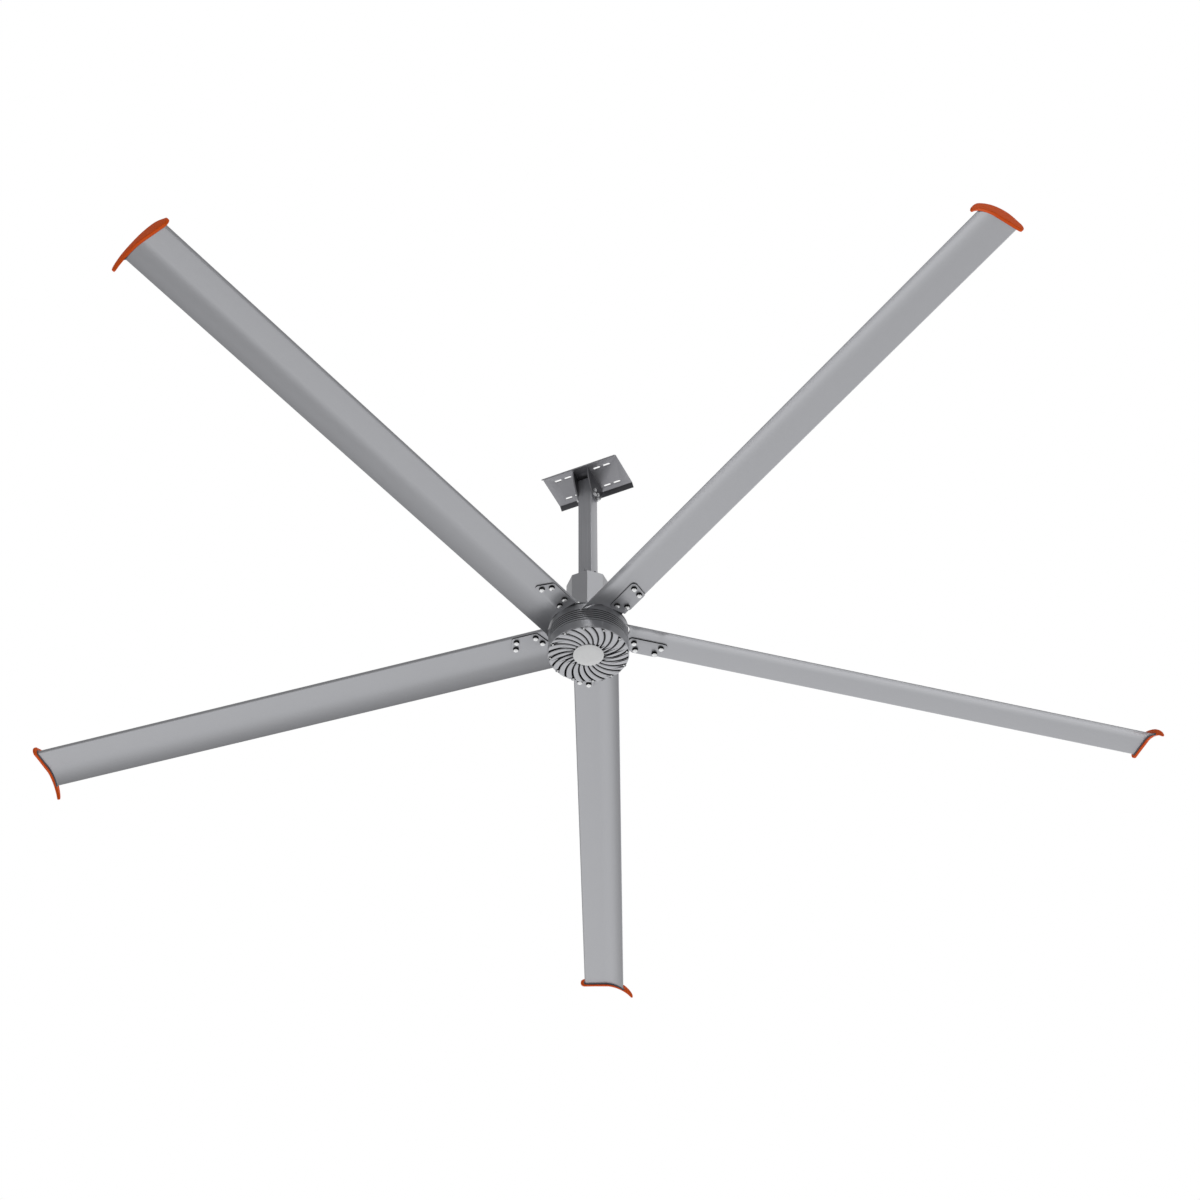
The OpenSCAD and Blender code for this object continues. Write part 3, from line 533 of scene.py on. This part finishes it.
plate_x = high("ceiling_plate").x
corners = [(-plate_x, -PLATE_FLAT_Y), (plate_x, -PLATE_FLAT_Y)]
corners += [(plate_x, PLATE_FLAT_Y), (-plate_x, PLATE_FLAT_Y)]
slots = [
    slot_outline(*SLOT, (side * x, row * SLOT_Y))
    for side in (-1, 1)
    for x in SLOT_X
    for row in (-1, 1)
]
flat = plate([corners] + slots, -PLATE_T, 0, PLATE_EDGE, keep_outer=True)
bend = (PLATE_FLAT_Y, -PLATE_T - BEND_R)
lower = arc(bend, BEND_R, 90, 90 - LIP_ANGLE, BEND_STEPS)
upper = arc(bend, BEND_R + PLATE_T, 90 - LIP_ANGLE, 90, BEND_STEPS)
run = polar(LIP, -LIP_ANGLE)
lip = lower + [lower[-1] + run, upper[0] + run] + upper
near_lip, shaded_far_lip = (
    upright_plate([Vector((side * p.x, p.y)) for p in lip], -plate_x, plate_x, PLATE_EDGE)
    for side in (-1, 1)
)
piece("ceiling_plate_pressed", joined(flat, near_lip), "bracket_paint", "hanger", "ceiling_plate")
# The far lip belongs to the same pressed plate but takes the darker ear_paint, as painted shade on
# its inner face.
piece("ceiling_plate_far_lip_shade", shaded_far_lip, "ear_paint", "hanger", "ceiling_plate")

# Ears, and the bolts through them

EAR_T = 8
EAR_EDGE = 0.8
EAR_SHOULDER = 28
EAR_ROUND_R = 42
EAR_BULGE = 9
EAR_ROUND_STEPS, EAR_FLANK_STEPS = 24, 10
HIGHLIGHT_RIM_PROUD = 0.6
HIGHLIGHT_RIM_INSET = 0.5
STUD_R, STUD_TIP_R = 5.6, 4.6
STUD_LENGTH, STUD_CHAMFER = 13, 1
STUD_CIRCLE = 20

ear_x = low("ear_right").x
ear_y = high("ear_right").y
ear_arc = Vector((0, low("ear_right").z + EAR_ROUND_R))
shoulder = Vector((ear_y, -PLATE_T - EAR_SHOULDER))
span = shoulder - ear_arc
tangent = heading(span) - math.degrees(math.acos(EAR_ROUND_R / span.length))
foot = arc(ear_arc, EAR_ROUND_R, tangent, -180 - tangent, EAR_ROUND_STEPS)
bulge = polar(EAR_BULGE, tangent)
flank = bezier(
    shoulder,
    shoulder + (foot[0] - shoulder) / 3 + bulge,
    foot[0] + (shoulder - foot[0]) / 3 + bulge,
    foot[0],
    EAR_FLANK_STEPS,
)
ear_outline = [Vector((-ear_y, -PLATE_T)), Vector((ear_y, -PLATE_T)), shoulder] + flank + foot[1:-1]
ear_outline += [Vector((-p.x, p.y)) for p in reversed(flank)] + [Vector((-shoulder.x, shoulder.y))]
# The ear faces take the darker ear_paint as painted shade under the plate. A slightly proud rim in
# the plate's paint is a painted highlight along their edges.
ear_highlight_rim = moved_in(wound(ear_outline, True), -HIGHLIGHT_RIM_PROUD)
for side, node in ((1, "ear_right"), (-1, "ear_left")):
    start, end = sorted((side * ear_x, side * (ear_x + EAR_T)))
    face = upright_plate(ear_outline, start, end, EAR_EDGE)
    piece(node + "_cut", face, "ear_paint", "hanger", node)
    rim = upright_plate(ear_highlight_rim, start + HIGHLIGHT_RIM_INSET, end - HIGHLIGHT_RIM_INSET, HIGHLIGHT_RIM_INSET)
    piece(node + "_rim", rim, "bracket_paint", "hanger", node)

nuts_low, nuts_high = low("ear_nuts"), high("ear_nuts")
nut_r = M12 / 2 / math.cos(math.pi / 6)
stud = lathe(
    [
        (AXIS_R, -M12_HEAD),
        (STUD_R, -M12_HEAD),
        (STUD_R, STUD_CHAMFER - STUD_LENGTH),
        (STUD_TIP_R, -STUD_LENGTH),
        (AXIS_R, -STUD_LENGTH),
    ],
    STUD_CIRCLE,
)
heads, nuts = [], []
for y in (nuts_low.y + nut_r, nuts_high.y - nut_r):
    for z in (nuts_low.z + M12 / 2, nuts_high.z - M12 / 2):
        left, right = (on_side(side * (ear_x + EAR_T), y, z) for side in (-1, 1))
        heads.append(placed(joined(hex_sides(M12, M12_HEAD), hex_crown(M12, M12_HEAD)), left))
        nuts.append(placed(joined(hex_sides(M12, M12_NUT), hex_crown(M12, M12_NUT)), right))
        heads.append(placed(stud, right))
piece("ear_bolt_heads", joined(*heads), "zinc", "hanger", "ear_bolts")
piece("ear_bolt_nuts", joined(*nuts), "zinc", "hanger", "ear_nuts")

# Downrod

ROD_PHASE = 45
ROD_CORNER, ROD_CORNER_STEPS = 3.5, 6
BORE_CORNER, BORE_CORNER_STEPS = 1.5, 4
ROD_WALL = 5
ROD_EDGE = 0.5

rod_side = high("downrod").x * 2
rod_outline = rounded(polygon(4, rod_side, ROD_PHASE), ROD_CORNER, ROD_CORNER_STEPS)
bore = polygon(4, rod_side - 2 * ROD_WALL, ROD_PHASE)
rod_bore = rounded(bore, BORE_CORNER, BORE_CORNER_STEPS)
rod = plate([rod_outline, rod_bore], low("downrod").z, high("downrod").z, ROD_EDGE)
piece("downrod_tube", rod, "rod_paint", "hanger", "downrod")

screw_z = (low("rod_screws").z + high("rod_screws").z) / 2
rod_screw = placed(round_head(*M8_HEAD), on_side(rod_side / 2, 0, screw_z))
dark, painted = (
    joined(*[placed(rod_screw, at(turn=turn)) for turn in turns]) for turns in ((0, 180), (90, 270))
)
piece("rod_screw_heads", dark, "black_steel", "hanger", "rod_screws")
piece("rod_screw_heads_painted", painted, "rod_paint", "hanger", "rod_screws")

# Housing: an octagonal wall and a roof that is rounded into it

HOUSING_T = 2.5
HOUSING_PHASE = 22.5
HOUSING_CORNER, HOUSING_CORNER_STEPS = 3.5, 4
HOUSING_EDGE = 4
ROOF_RISE = 8
ROOF_STEPS = 5

housing_across = high("housing").x * 2
housing_low, housing_high = low("housing").z, high("housing").z + ROOF_RISE
octagon = polygon(8, housing_across, HOUSING_PHASE)
octagon = rounded(octagon, HOUSING_CORNER, HOUSING_CORNER_STEPS)
inner_octagon = polygon(8, housing_across - 2 * HOUSING_T, HOUSING_PHASE)
wall_levels = [(0, level(housing_low)), (0, level(housing_high - HOUSING_EDGE))]
roof_levels = [
    (inset, level(housing_high - fall))
    for inset, fall in reversed(quarter_round(HOUSING_EDGE, HOUSING_EDGE, ROOF_STEPS))
]
housing = joined(solid([octagon, inner_octagon], wall_levels), solid([octagon], roof_levels))
piece("housing_folded", housing, "housing_sheet", "hanger", "housing")

screw_z = (low("housing_screws").z + high("housing_screws").z) / 2
housing_screw = placed(round_head(*M8_HEAD), on_side(housing_across / 2, 0, screw_z))
screws = [placed(housing_screw, at(turn=turn)) for turn in (0, 90, 180, 270)]
piece("housing_screw_heads", joined(*screws), "zinc", "hanger", "housing_screws")

# Hub plate: a disc with an arm into each blade

HUB_R = 200
HUB_BORE_R = 50
HUB_LOWER_EDGE, HUB_UPPER_EDGE = 1.5, 2.5
ARM_BACK, ARM_FRONT, ARM_REACH, ARM_SLANT = -24, 67, 415, 34
ARM_CORNER = 20
ARM_HEEL_BACK, ARM_HEEL_FRONT = 3, 16
ARM_INSET = 0.2
ARM_EDGE = 0.8
HUB_BOLT_R = 185
HUB_BOLT_ANGLE = 22

hub_low, hub_high = low("hub_plate").z, high("hub_plate").z
hub_disc = lathe(
    [
        (HUB_BORE_R, hub_low),
        (HUB_R - HUB_LOWER_EDGE, hub_low),
        (HUB_R, hub_low + HUB_LOWER_EDGE),
        (HUB_R, hub_high - HUB_UPPER_EDGE),
        (HUB_R - HUB_UPPER_EDGE, hub_high),
        (HUB_BORE_R, hub_high),
    ],
    FINE_CIRCLE,
)
arm_corners = [(0, 0), (ARM_REACH, ARM_BACK), (ARM_REACH - ARM_SLANT, ARM_FRONT), (0, ARM_FRONT)]
arm_outline = [(HUB_R - ARM_HEEL_BACK, ARM_BACK)]
arm_outline += rounded(arm_corners, [0, ARM_CORNER, ARM_CORNER, 0])[1:-1]
arm_outline += [(HUB_R - ARM_HEEL_FRONT, ARM_FRONT)]
arm = plate([arm_outline], hub_low + ARM_INSET, hub_high - ARM_INSET, ARM_EDGE)
arms = [placed(arm, at(turn=turn)) for turn in BLADE_TURNS]
piece("hub_plate_machined", joined(hub_disc, *arms), "cast_hub", "rotor", "hub_plate")

upside_down = Matrix.Rotation(math.pi, 4, "X")
hub_bolt = placed(joined(hex_sides(M12, M12_HEAD), hex_crown(M12, M12_HEAD)), upside_down)
hub_bolts = [
    placed(hub_bolt, at(HUB_BOLT_R, 0, hub_high, turn + side * HUB_BOLT_ANGLE))
    for turn in BLADE_TURNS
    for side in (-1, 1)
]
piece("hub_bolt_heads", joined(*hub_bolts), "zinc", "rotor", "hub_bolts")

# Motor shell, with black rings painted as shade on the floors of its grooves and in the seam over
# the cover

SHELL_R = 200
SHELL_BORE_R = 178
SHELL_WEB = 12
SHELL_EDGE = 1.2
BEARING_R = 55
BOSS_R = 68
BOSS_LIP = 4
GROOVES = 5
GROOVE_FIRST, GROOVE_PITCH, GROOVE_W, GROOVE_D = 38, 13.3, 6, 5
# Half a groove's section, as depths and distances in from its edge
GROOVE_HALF = [(0, -1), (0.9, 0), (GROOVE_D - 1.2, 0.4), (GROOVE_D, 1.6)]
SHADE_FLOOR_DEPTH = 2
SHADE_FLOOR_OVERLAP = 0.3
SHADE_FLOOR_SINK = 0.5
SEAM = 4

shell_low, shell_high = low("rotor_shell").z, high("rotor_shell").z
cover_low, cover_high = low("bottom_cover").z, high("bottom_cover").z
seat_low = low("upper_bearing_outer").z
groove_zs = [shell_high - GROOVE_FIRST - i * GROOVE_PITCH for i in range(GROOVES)]
profile = [(SHELL_BORE_R, shell_low), (SHELL_R - SEAM, shell_low), (SHELL_R, shell_low + SEAM)]
for z in reversed(groove_zs):
    bottom, top = z - GROOVE_W / 2, z + GROOVE_W / 2
    profile += [(SHELL_R - depth, bottom + run_in) for depth, run_in in GROOVE_HALF]
    profile += [(SHELL_R - depth, top - run_in) for depth, run_in in reversed(GROOVE_HALF)]
profile += [
    (SHELL_R, shell_high - SHELL_EDGE),
    (SHELL_R - SHELL_EDGE, shell_high),
    (BEARING_R, shell_high),
    (BEARING_R, seat_low),
    (HUB_BORE_R, seat_low),
    (HUB_BORE_R, seat_low - BOSS_LIP),
    (BOSS_R, seat_low - BOSS_LIP),
    (BOSS_R, shell_high - SHELL_WEB),
    (SHELL_BORE_R, shell_high - SHELL_WEB),
]
piece("rotor_shell_turned", lathe(profile, FINE_CIRCLE), "shell_paint", "rotor", "rotor_shell")
# Black rings at the groove floors and in the seam are painted shade in these recesses.
half = GROOVE_W / 2 + SHADE_FLOOR_OVERLAP
inner, outer = SHELL_R - GROOVE_D - SHADE_FLOOR_SINK, SHELL_R - SHADE_FLOOR_DEPTH
shade_floors = [band(inner, outer, z - half, z + half) for z in groove_zs]
seam_low, seam_high = cover_high - SEAM / 2, shell_low + SEAM / 2
shade_floors.append(band(SHELL_R - SEAM - 1, SHELL_R - SEAM / 2, seam_low, seam_high))
piece("rotor_shell_groove_shade", joined(*shade_floors), "black_steel", "rotor", "rotor_shell")

# Bottom cover: a face of ribs between spiral slots, black walls behind it as painted shade in the
# slots, and a skirt

COVER_R = 202
COVER_WALL = 4
SPIRALS = 24
SPIRAL_W = 6
SPIRAL_FLARE = 0.7
SPIRAL_IN, SPIRAL_OUT = 75, 204
SPIRAL_SWEEP = 29
SPIRAL_BOW = 20
SPIRAL_PHASE = 12
SPIRAL_STEPS, SPIRAL_END_STEPS = 80, 8
SPIRAL_OVERRUN = 4
RIM_LAND = 0.5
RIM_STEPS = 6
RIB_EDGE = 5
RIB_RISE = 4
RIB_STEPS = 5
RIB_DEPTH = 20
SKIRT_EDGE = 0.6
SKIRT_LAND = 0.1
COVER_SCREWS = 12
COVER_SCREW_HEAD = (5.5, 4)
COVER_SCREW_SINK = 1
SCREW_PHASE = 18
SCREW_R = 191
POST_R = 8

screw_turns = [SCREW_PHASE + i * 360 / COVER_SCREWS for i in range(COVER_SCREWS)]
posts = [polar(SCREW_R, turn) for turn in screw_turns]


def slot_side(turn, offset):
    """One side of a spiral slot, from its inner end out to the rim, bowed round the screw posts."""
    start = polar(SPIRAL_IN, 0)
    end = polar(SPIRAL_OUT, -SPIRAL_SWEEP)
    chord = end - start
    bow = ((chord.length / 2) ** 2 + SPIRAL_BOW**2) / (2 * SPIRAL_BOW)
    centre = (start + end) / 2 + polar(bow - SPIRAL_BOW, heading(chord) - 90)
    spin = Matrix.Rotation(math.radians(turn), 2)
    middle = arc(
        centre, bow, heading(start - centre), heading(end - centre) - SPIRAL_OVERRUN, SPIRAL_STEPS
    )
    side = []
    for i, p in enumerate(middle):
        outward = (p - centre).normalized()
        side.append(spin @ (p + outward * offset * (1 + SPIRAL_FLARE * i / SPIRAL_STEPS)))
    side = [p for p in side if SPIRAL_IN + SPIRAL_W / 2 <= p.length <= COVER_R - RIM_LAND]
    for post in posts:
        side = [
            p if (p - post).length >= POST_R else post + (p - post).normalized() * POST_R
            for p in side
        ]
    return side


mouths = []
for i in range(SPIRALS):
    turn = SPIRAL_PHASE + i * 360 / SPIRALS
    behind = slot_side(turn, -SPIRAL_W / 2)
    before = slot_side(turn, SPIRAL_W / 2)
    middle = (behind[0] + before[0]) / 2
    start = heading(behind[0] - middle)
    inner_end = arc(middle, SPIRAL_W / 2, start, start - 180, SPIRAL_END_STEPS)[1:-1]
    mouths.append(behind[::-1] + inner_end + before)
outline = []
for i, mouth in enumerate(mouths):
    following = mouths[(i + 1) % SPIRALS]
    from_angle = heading(mouth[-1])
    sweep = (heading(following[0]) - from_angle) % 360
    rim = arc((0, 0), COVER_R, from_angle, from_angle + sweep, RIM_STEPS)
    outline += mouth + rim[1:-1]
face_levels = [
    (inset, level(cover_low + rise)) for inset, rise in quarter_round(RIB_EDGE, RIB_RISE, RIB_STEPS)
]
piece("bottom_cover_cast", solid([outline], face_levels), "cover_cast", "rotor", "bottom_cover")
# The black rib walls behind the face paint the shade inside the slots.
inside = [p * min(1, (COVER_R - COVER_WALL) / p.length) for p in outline]
slot_shade_walls = solid([inside], [(0, level(cover_low + rise)) for rise in (RIB_RISE, RIB_DEPTH)])
piece("bottom_cover_slot_shade", slot_shade_walls, "black_steel", "rotor", "bottom_cover")
skirt = [
    (COVER_R - COVER_WALL, cover_low + RIB_RISE),
    (COVER_R - SKIRT_EDGE, cover_low + RIB_RISE),
    (COVER_R, cover_low + RIB_RISE + SKIRT_EDGE),
    (COVER_R, cover_high - SEAM),
    (COVER_R - SEAM + SKIRT_LAND, cover_high),
    (COVER_R - COVER_WALL, cover_high),
]
piece("bottom_cover_skirt", lathe(skirt, FINE_CIRCLE), "shell_paint", "rotor", "bottom_cover")

screw_z = cover_low + COVER_SCREW_SINK
cover_screw = round_head(*COVER_SCREW_HEAD)
screws = [placed(cover_screw, at(SCREW_R, 0, screw_z, turn)) for turn in screw_turns]
piece("cover_screw_heads", joined(*screws), "zinc", "rotor", "cover_screws")

BADGE_R = 76.5
BADGE_T = 3
# The badge's slightly domed face, as distances in from its rim and rises
BADGE_FACE = [(BADGE_R * 0.5, 0.1), (2, 0.3), (0.6, 0.9), (0, 1.8)]

badge_low = low("badge").z
badge = [(AXIS_R, badge_low)]
badge += [(BADGE_R - inset, badge_low + rise) for inset, rise in BADGE_FACE]
badge += [(BADGE_R, badge_low + BADGE_T), (AXIS_R, badge_low + BADGE_T)]
piece("badge_disc", lathe(badge), "badge_plate", "rotor", "badge")

# Blades. Each is built along +X; the section is (Y, Z), with +Y towards the leading edge. FLAT
# is the level part of the underside and DROP how far the tail lies below it.

LEAD = 81
CHORD = 228
FLAT = 119
DROP = 45
HEIGHT = 40
CREST_SHARE = 0.29
NOSE_R = 10
NOSE_END = 60
NOSE_PULL_SHARE = 0.42
CREST_PULL_SHARE = 0.36
TAIL_T = 3
TAIL_EASE = 0.86
TAIL_SOLID = 52
SKIN = 2.5
SECTION_STEPS, NOSE_STEPS = 24, 14
ROOT_R = 206
TIP_R = 3046
RINGS = (700, 1800, TIP_R)

tail_y = LEAD - CHORD
bend_y = LEAD - FLAT
tail_run = CHORD - FLAT
bend_r = (tail_run**2 + DROP**2) / (2 * DROP)
tail_slope = 2 * math.degrees(math.atan(DROP / tail_run))
crest_y = LEAD - CREST_SHARE * CHORD
blade_z = hub_low - SKIN


def underside(start_y, lift):
    """The drooped part of the lower skin, from a place near the tail to the flat part."""
    ys = [start_y + (bend_y - start_y) * i / SECTION_STEPS for i in range(SECTION_STEPS + 1)]
    return [Vector((y, math.sqrt(bend_r**2 - (bend_y - y) ** 2) - bend_r + lift)) for y in ys]


def topside(inset):
    """The nose and the upper skin, back to the tail."""
    nose = Vector((LEAD - NOSE_R, NOSE_R))
    r = NOSE_R - inset
    start = nose + polar(r, NOSE_END)
    crest = Vector((crest_y, HEIGHT - inset))
    tail = Vector((tail_y, -DROP)) + polar(TAIL_T - inset, 90 + tail_slope)
    nose_pull = NOSE_PULL_SHARE * (start.x - crest_y)
    crest_pull = CREST_PULL_SHARE * (crest_y - tail_y)
    front = (start + polar(nose_pull, NOSE_END + 90), crest + Vector((nose_pull, 0)))
    back = (crest - Vector((crest_pull, 0)), tail + polar(crest_pull, tail_slope * TAIL_EASE))
    return (
        arc(nose, r, -90, NOSE_END, NOSE_STEPS)
        + bezier(start, *front, crest, SECTION_STEPS)
        + bezier(crest, *back, tail, SECTION_STEPS)
    )


def section_at(x):
    """Puts a point of the section at a place along the blade."""
    return lambda p: Vector((x, p.x, blade_z + p.y))


def section_at_root(p):
    """Puts a point of the section on the root's cut: round the hub behind, straight in front."""
    return Vector((math.sqrt(ROOT_R**2 - min(p.x, 0) ** 2), p.x, blade_z + p.y))


outer = underside(tail_y, 0) + topside(0)
hollow_start = tail_y + TAIL_SOLID
hollow = underside(hollow_start, SKIN) + [p for p in topside(SKIN) if p.x > hollow_start]
blade_part = solid([outer, hollow], [(0, section_at_root)] + [(0, section_at(x)) for x in RINGS])

# Clamp plate: a bright face, with black sides as painted shade along its edges

CLAMP = [(202, -22), (422, -22), (378, 78), (246, 78)]
CLAMP_CORNERS = [18, 18, 15, 15]
CLAMP_T = 6
CLAMP_FACE = 1.2

clamp_outline = rounded(CLAMP, CLAMP_CORNERS)
clamp_low = blade_z - CLAMP_T
clamp_shade_sides = solid([clamp_outline], [(0, level(clamp_low + CLAMP_FACE)), (0, level(blade_z))])
clamp_part = plate([clamp_outline], clamp_low, clamp_low + CLAMP_FACE, CLAMP_FACE / 2)

# Seal and end cap

SEAL_T = 4
SEAL_PROUD = 5
SEAL_SLOPE = 1.5
CAP_T = 14.9
CAP_EDGE = 3.0
CAP_EDGE_STEPS = 4
CAP_AHEAD, CAP_BEHIND, CAP_ABOVE, CAP_BELOW = 24, 57, 17, 11
CAP_NOSE_R = 23
CAP_NOSE_RISE = 2
CAP_BROW = 70
CAP_TOP_SHARES = (0.1, 0.85)
CAP_TAIL_SLOPE = 0.95
CAP_TIP_TOP, CAP_TIP_LOW = (0, 9), (13, 8)
# How each curve leaves its start and reaches its end, and its steps
CAP_PULLS = [
    ((-20, 7), (30, 0), 20),
    ((-70, 0), (45, 34), 20),
    ((-20, -16), (0, 23), 12),
    ((0, -7), (-4, -6), 6),
    ((31, 42), (-60, 0), 20),
]


def cap_outline():
    """The fin outline of an end cap: nose, crest, down to the tail's blunt tip and back below."""
    nose = Vector((LEAD + CAP_AHEAD - CAP_NOSE_R, NOSE_R + CAP_NOSE_RISE))
    brow = nose + polar(CAP_NOSE_R, CAP_BROW)
    crest = Vector((crest_y, HEIGHT + CAP_ABOVE))
    behind, above = CAP_TOP_SHARES
    top = Vector((tail_y - CAP_BEHIND * behind, -DROP + HEIGHT * above))
    tip = Vector((tail_y - CAP_BEHIND, -DROP - CAP_BEHIND * CAP_TAIL_SLOPE))
    chin = Vector((bend_y, -CAP_BELOW))
    knots = [brow, crest, top, tip + Vector(CAP_TIP_TOP), tip + Vector(CAP_TIP_LOW), chin]
    points = arc(nose, CAP_NOSE_R, -90, CAP_BROW, NOSE_STEPS)
    for a, b, (leaving, reaching, steps) in zip(knots, knots[1:], CAP_PULLS):
        points += bezier(a, a + Vector(leaving), b + Vector(reaching), b, steps)
    return points


cap_x = TIP_R + SEAL_T
cap_edges = edge_levels(cap_x, cap_x + CAP_T, CAP_EDGE, CAP_EDGE_STEPS)
cap_part = solid([cap_outline()], [(inset, section_at(x)) for inset, x in cap_edges])
seal_levels = [(0, TIP_R), (-SEAL_PROUD, TIP_R + SEAL_SLOPE), (-SEAL_PROUD, cap_x)]
seal_part = solid([outer], [(inset, section_at(x)) for inset, x in seal_levels])
for i, turn in enumerate(BLADE_TURNS):
    blade, clamp, cap = f"blade_{i + 1}", f"clamp_plate_{i + 1}", f"tip_cap_{i + 1}"
    piece(blade + "_extruded", blade_part, "blade_alloy", "rotor", blade, turn=turn)
    piece(clamp + "_milled", clamp_part, "clamp_alloy", "rotor", clamp, turn=turn)
    # The clamp's sides are black as painted shade.
    piece(clamp + "_sides", clamp_shade_sides, "black_steel", "rotor", clamp, turn=turn)
    piece(cap + "_moulded", cap_part, "cap_orange", "rotor", cap, turn=turn)

BOLTS = [(240.5, 5.5), (383.5, 5.5), (261, 51), (363, 51)]
WASHER_HOLE_R, WASHER_R, WASHER_T = 8, 15, 3

# The bolt heads' sides and their washers are black as painted shade and painted dark reflection.
# Only the crowns are zinc.
seals, sides, crowns, shaded_washers = [], [], [], []
for turn in BLADE_TURNS:
    seals.append(placed(seal_part, at(turn=turn)))
    for x, y in BOLTS:
        seat = at(x, y, clamp_low, turn)
        shaded_washers.append(placed(washer(WASHER_HOLE_R, WASHER_R, WASHER_T), seat))
        seat = at(x, y, clamp_low - WASHER_T, turn)
        sides.append(placed(hex_sides(M16, M16_HEAD), seat))
        crowns.append(placed(hex_crown(M16, M16_HEAD), seat))
piece("tip_seal_strips", joined(*seals), "seal_grey", "rotor", "tip_seals")
piece("blade_bolt_shaded_sides", joined(*sides), "black_steel", "rotor", "blade_bolts")
piece("blade_bolt_crowns", joined(*crowns), "zinc", "rotor", "blade_bolts")
piece("blade_bolt_shaded_washers", joined(*shaded_washers), "black_steel", "rotor", "blade_washers")

# Camera, in metres, fitted to the photograph

CAMERA_AT = (3.3818, -7.4103, -8.8357)
YAW, PITCH, ROLL = (math.radians(v) for v in (-24.11, 44.29, -0.56))
LENS, SENSOR = 67.47, 36
CLIP_END = 100

ahead = Vector((math.sin(YAW) * math.cos(PITCH), math.cos(YAW) * math.cos(PITCH), math.sin(PITCH)))
right = Vector((math.cos(YAW), -math.sin(YAW), 0))
up = right.cross(ahead)
right, up = (
    right * math.cos(ROLL) + up * math.sin(ROLL),
    up * math.cos(ROLL) - right * math.sin(ROLL),
)
facing = Matrix((right, up, -ahead)).transposed().to_4x4()
camera = bpy.data.objects.new("camera", bpy.data.cameras.new("camera"))
bpy.context.scene.collection.objects.link(camera)
camera.matrix_world = Matrix.Translation(CAMERA_AT) @ facing
camera.data.lens = LENS
camera.data.sensor_width = SENSOR
camera.data.clip_end = CLIP_END
bpy.context.scene.camera = camera

# Floor, in metres

FLOOR_Z = -9.6
FLOOR_R = 3.5
FLOOR_CIRCLE = 96
FLOOR_COLOUR = (0.8, 0.8, 0.8, 1)
FLOOR_ROUGHNESS = 0.9

floor_mesh = bpy.data.meshes.new("floor")
work = bmesh.new()
bmesh.ops.create_circle(work, cap_ends=True, segments=FLOOR_CIRCLE, radius=FLOOR_R)
work.to_mesh(floor_mesh)
work.free()
floor = bpy.data.objects.new("floor", floor_mesh)
floor.location.z = FLOOR_Z
bpy.context.scene.collection.objects.link(floor)
pale = bpy.data.materials.new("floor")
pale.use_nodes = True
shader = pale.node_tree.nodes["Principled BSDF"]
shader.inputs["Base Color"].default_value = FLOOR_COLOUR
shader.inputs["Roughness"].default_value = FLOOR_ROUGHNESS
floor_mesh.materials.append(pale)

# Light: a studio as strengths by direction. From below it grows from near to far and towards
# -X, around it is dim but for the far side, and softboxes stand above the blades.

NEAR_Y, FAR_Y = -0.9, 0.5
BELOW_NEAR, BELOW_FAR = 0.26, 0.76
BELOW_SIDE = -0.45
AROUND = 0.3
BEHIND = 0.8
BEHIND_START_Y, BEHIND_END_Y = 0.3, 0.95
BELOW_Z, AROUND_Z = -0.65, -0.15
# azimuth, elevation, cosines where each starts and is full, strength
SOFTBOXES = [(-25, 45, 0.9, 0.975, 1.1), (-65, 45, 0.985, 0.997, 3.8), (155, 44, 0.98, 0.995, 0.5)]
WHITE = (1, 1, 1, 1)

world = bpy.data.worlds.new("studio")
bpy.context.scene.world = world
world.use_nodes = True
nodes, links = world.node_tree.nodes, world.node_tree.links
sky = nodes["Background"]
place = nodes.new("ShaderNodeTexCoord")
split = nodes.new("ShaderNodeSeparateXYZ")
links.new(place.outputs["Generated"], split.inputs["Vector"])


def weighed(value, factor, addend):
    """value * factor + addend, as a node's output. Each may be a number or an output."""
    node = nodes.new("ShaderNodeMath")
    node.operation = "MULTIPLY_ADD"
    for socket, given in zip(node.inputs, (value, factor, addend)):
        if isinstance(given, (int, float)):
            socket.default_value = given
        else:
            links.new(given, socket)
    return node.outputs[0]


def ramped(value, start, end, low_value, high_value):
    """A soft step from one value to another."""
    node = nodes.new("ShaderNodeMapRange")
    node.interpolation_type = "SMOOTHSTEP"
    node.inputs["From Min"].default_value = start
    node.inputs["From Max"].default_value = end
    node.inputs["To Min"].default_value = low_value
    node.inputs["To Max"].default_value = high_value
    links.new(value, node.inputs["Value"])
    return node.outputs["Result"]


from_below = ramped(split.outputs["Y"], NEAR_Y, FAR_Y, BELOW_NEAR, BELOW_FAR)
from_below = weighed(weighed(split.outputs["X"], BELOW_SIDE, 1), from_below, 0)
behind = ramped(split.outputs["Y"], BEHIND_START_Y, BEHIND_END_Y, 0, BEHIND)
from_around = weighed(behind, 1, AROUND)
depth = ramped(split.outputs["Z"], BELOW_Z, AROUND_Z, 0, 1)
strength = weighed(weighed(from_below, -1, from_around), depth, from_below)
for azimuth, elevation, start, end, power in SOFTBOXES:
    run = polar(math.cos(math.radians(elevation)), azimuth)
    towards = nodes.new("ShaderNodeVectorMath")
    towards.operation = "DOT_PRODUCT"
    links.new(place.outputs["Generated"], towards.inputs[0])
    towards.inputs[1].default_value = (*run, math.sin(math.radians(elevation)))
    strength = weighed(ramped(towards.outputs["Value"], start, end, 0, power), 1, strength)
sky.inputs["Color"].default_value = WHITE
links.new(strength, sky.inputs["Strength"])
backdrop = nodes.new("ShaderNodeBackground")
backdrop.inputs["Color"].default_value = WHITE
path = nodes.new("ShaderNodeLightPath")
choose = nodes.new("ShaderNodeMixShader")
links.new(path.outputs["Is Camera Ray"], choose.inputs["Fac"])
links.new(sky.outputs["Background"], choose.inputs[1])
links.new(backdrop.outputs["Background"], choose.inputs[2])
links.new(choose.outputs["Shader"], nodes["World Output"].inputs["Surface"])

bpy.context.scene.view_settings.view_transform = "Standard"
bpy.context.scene.view_settings.look = "None"
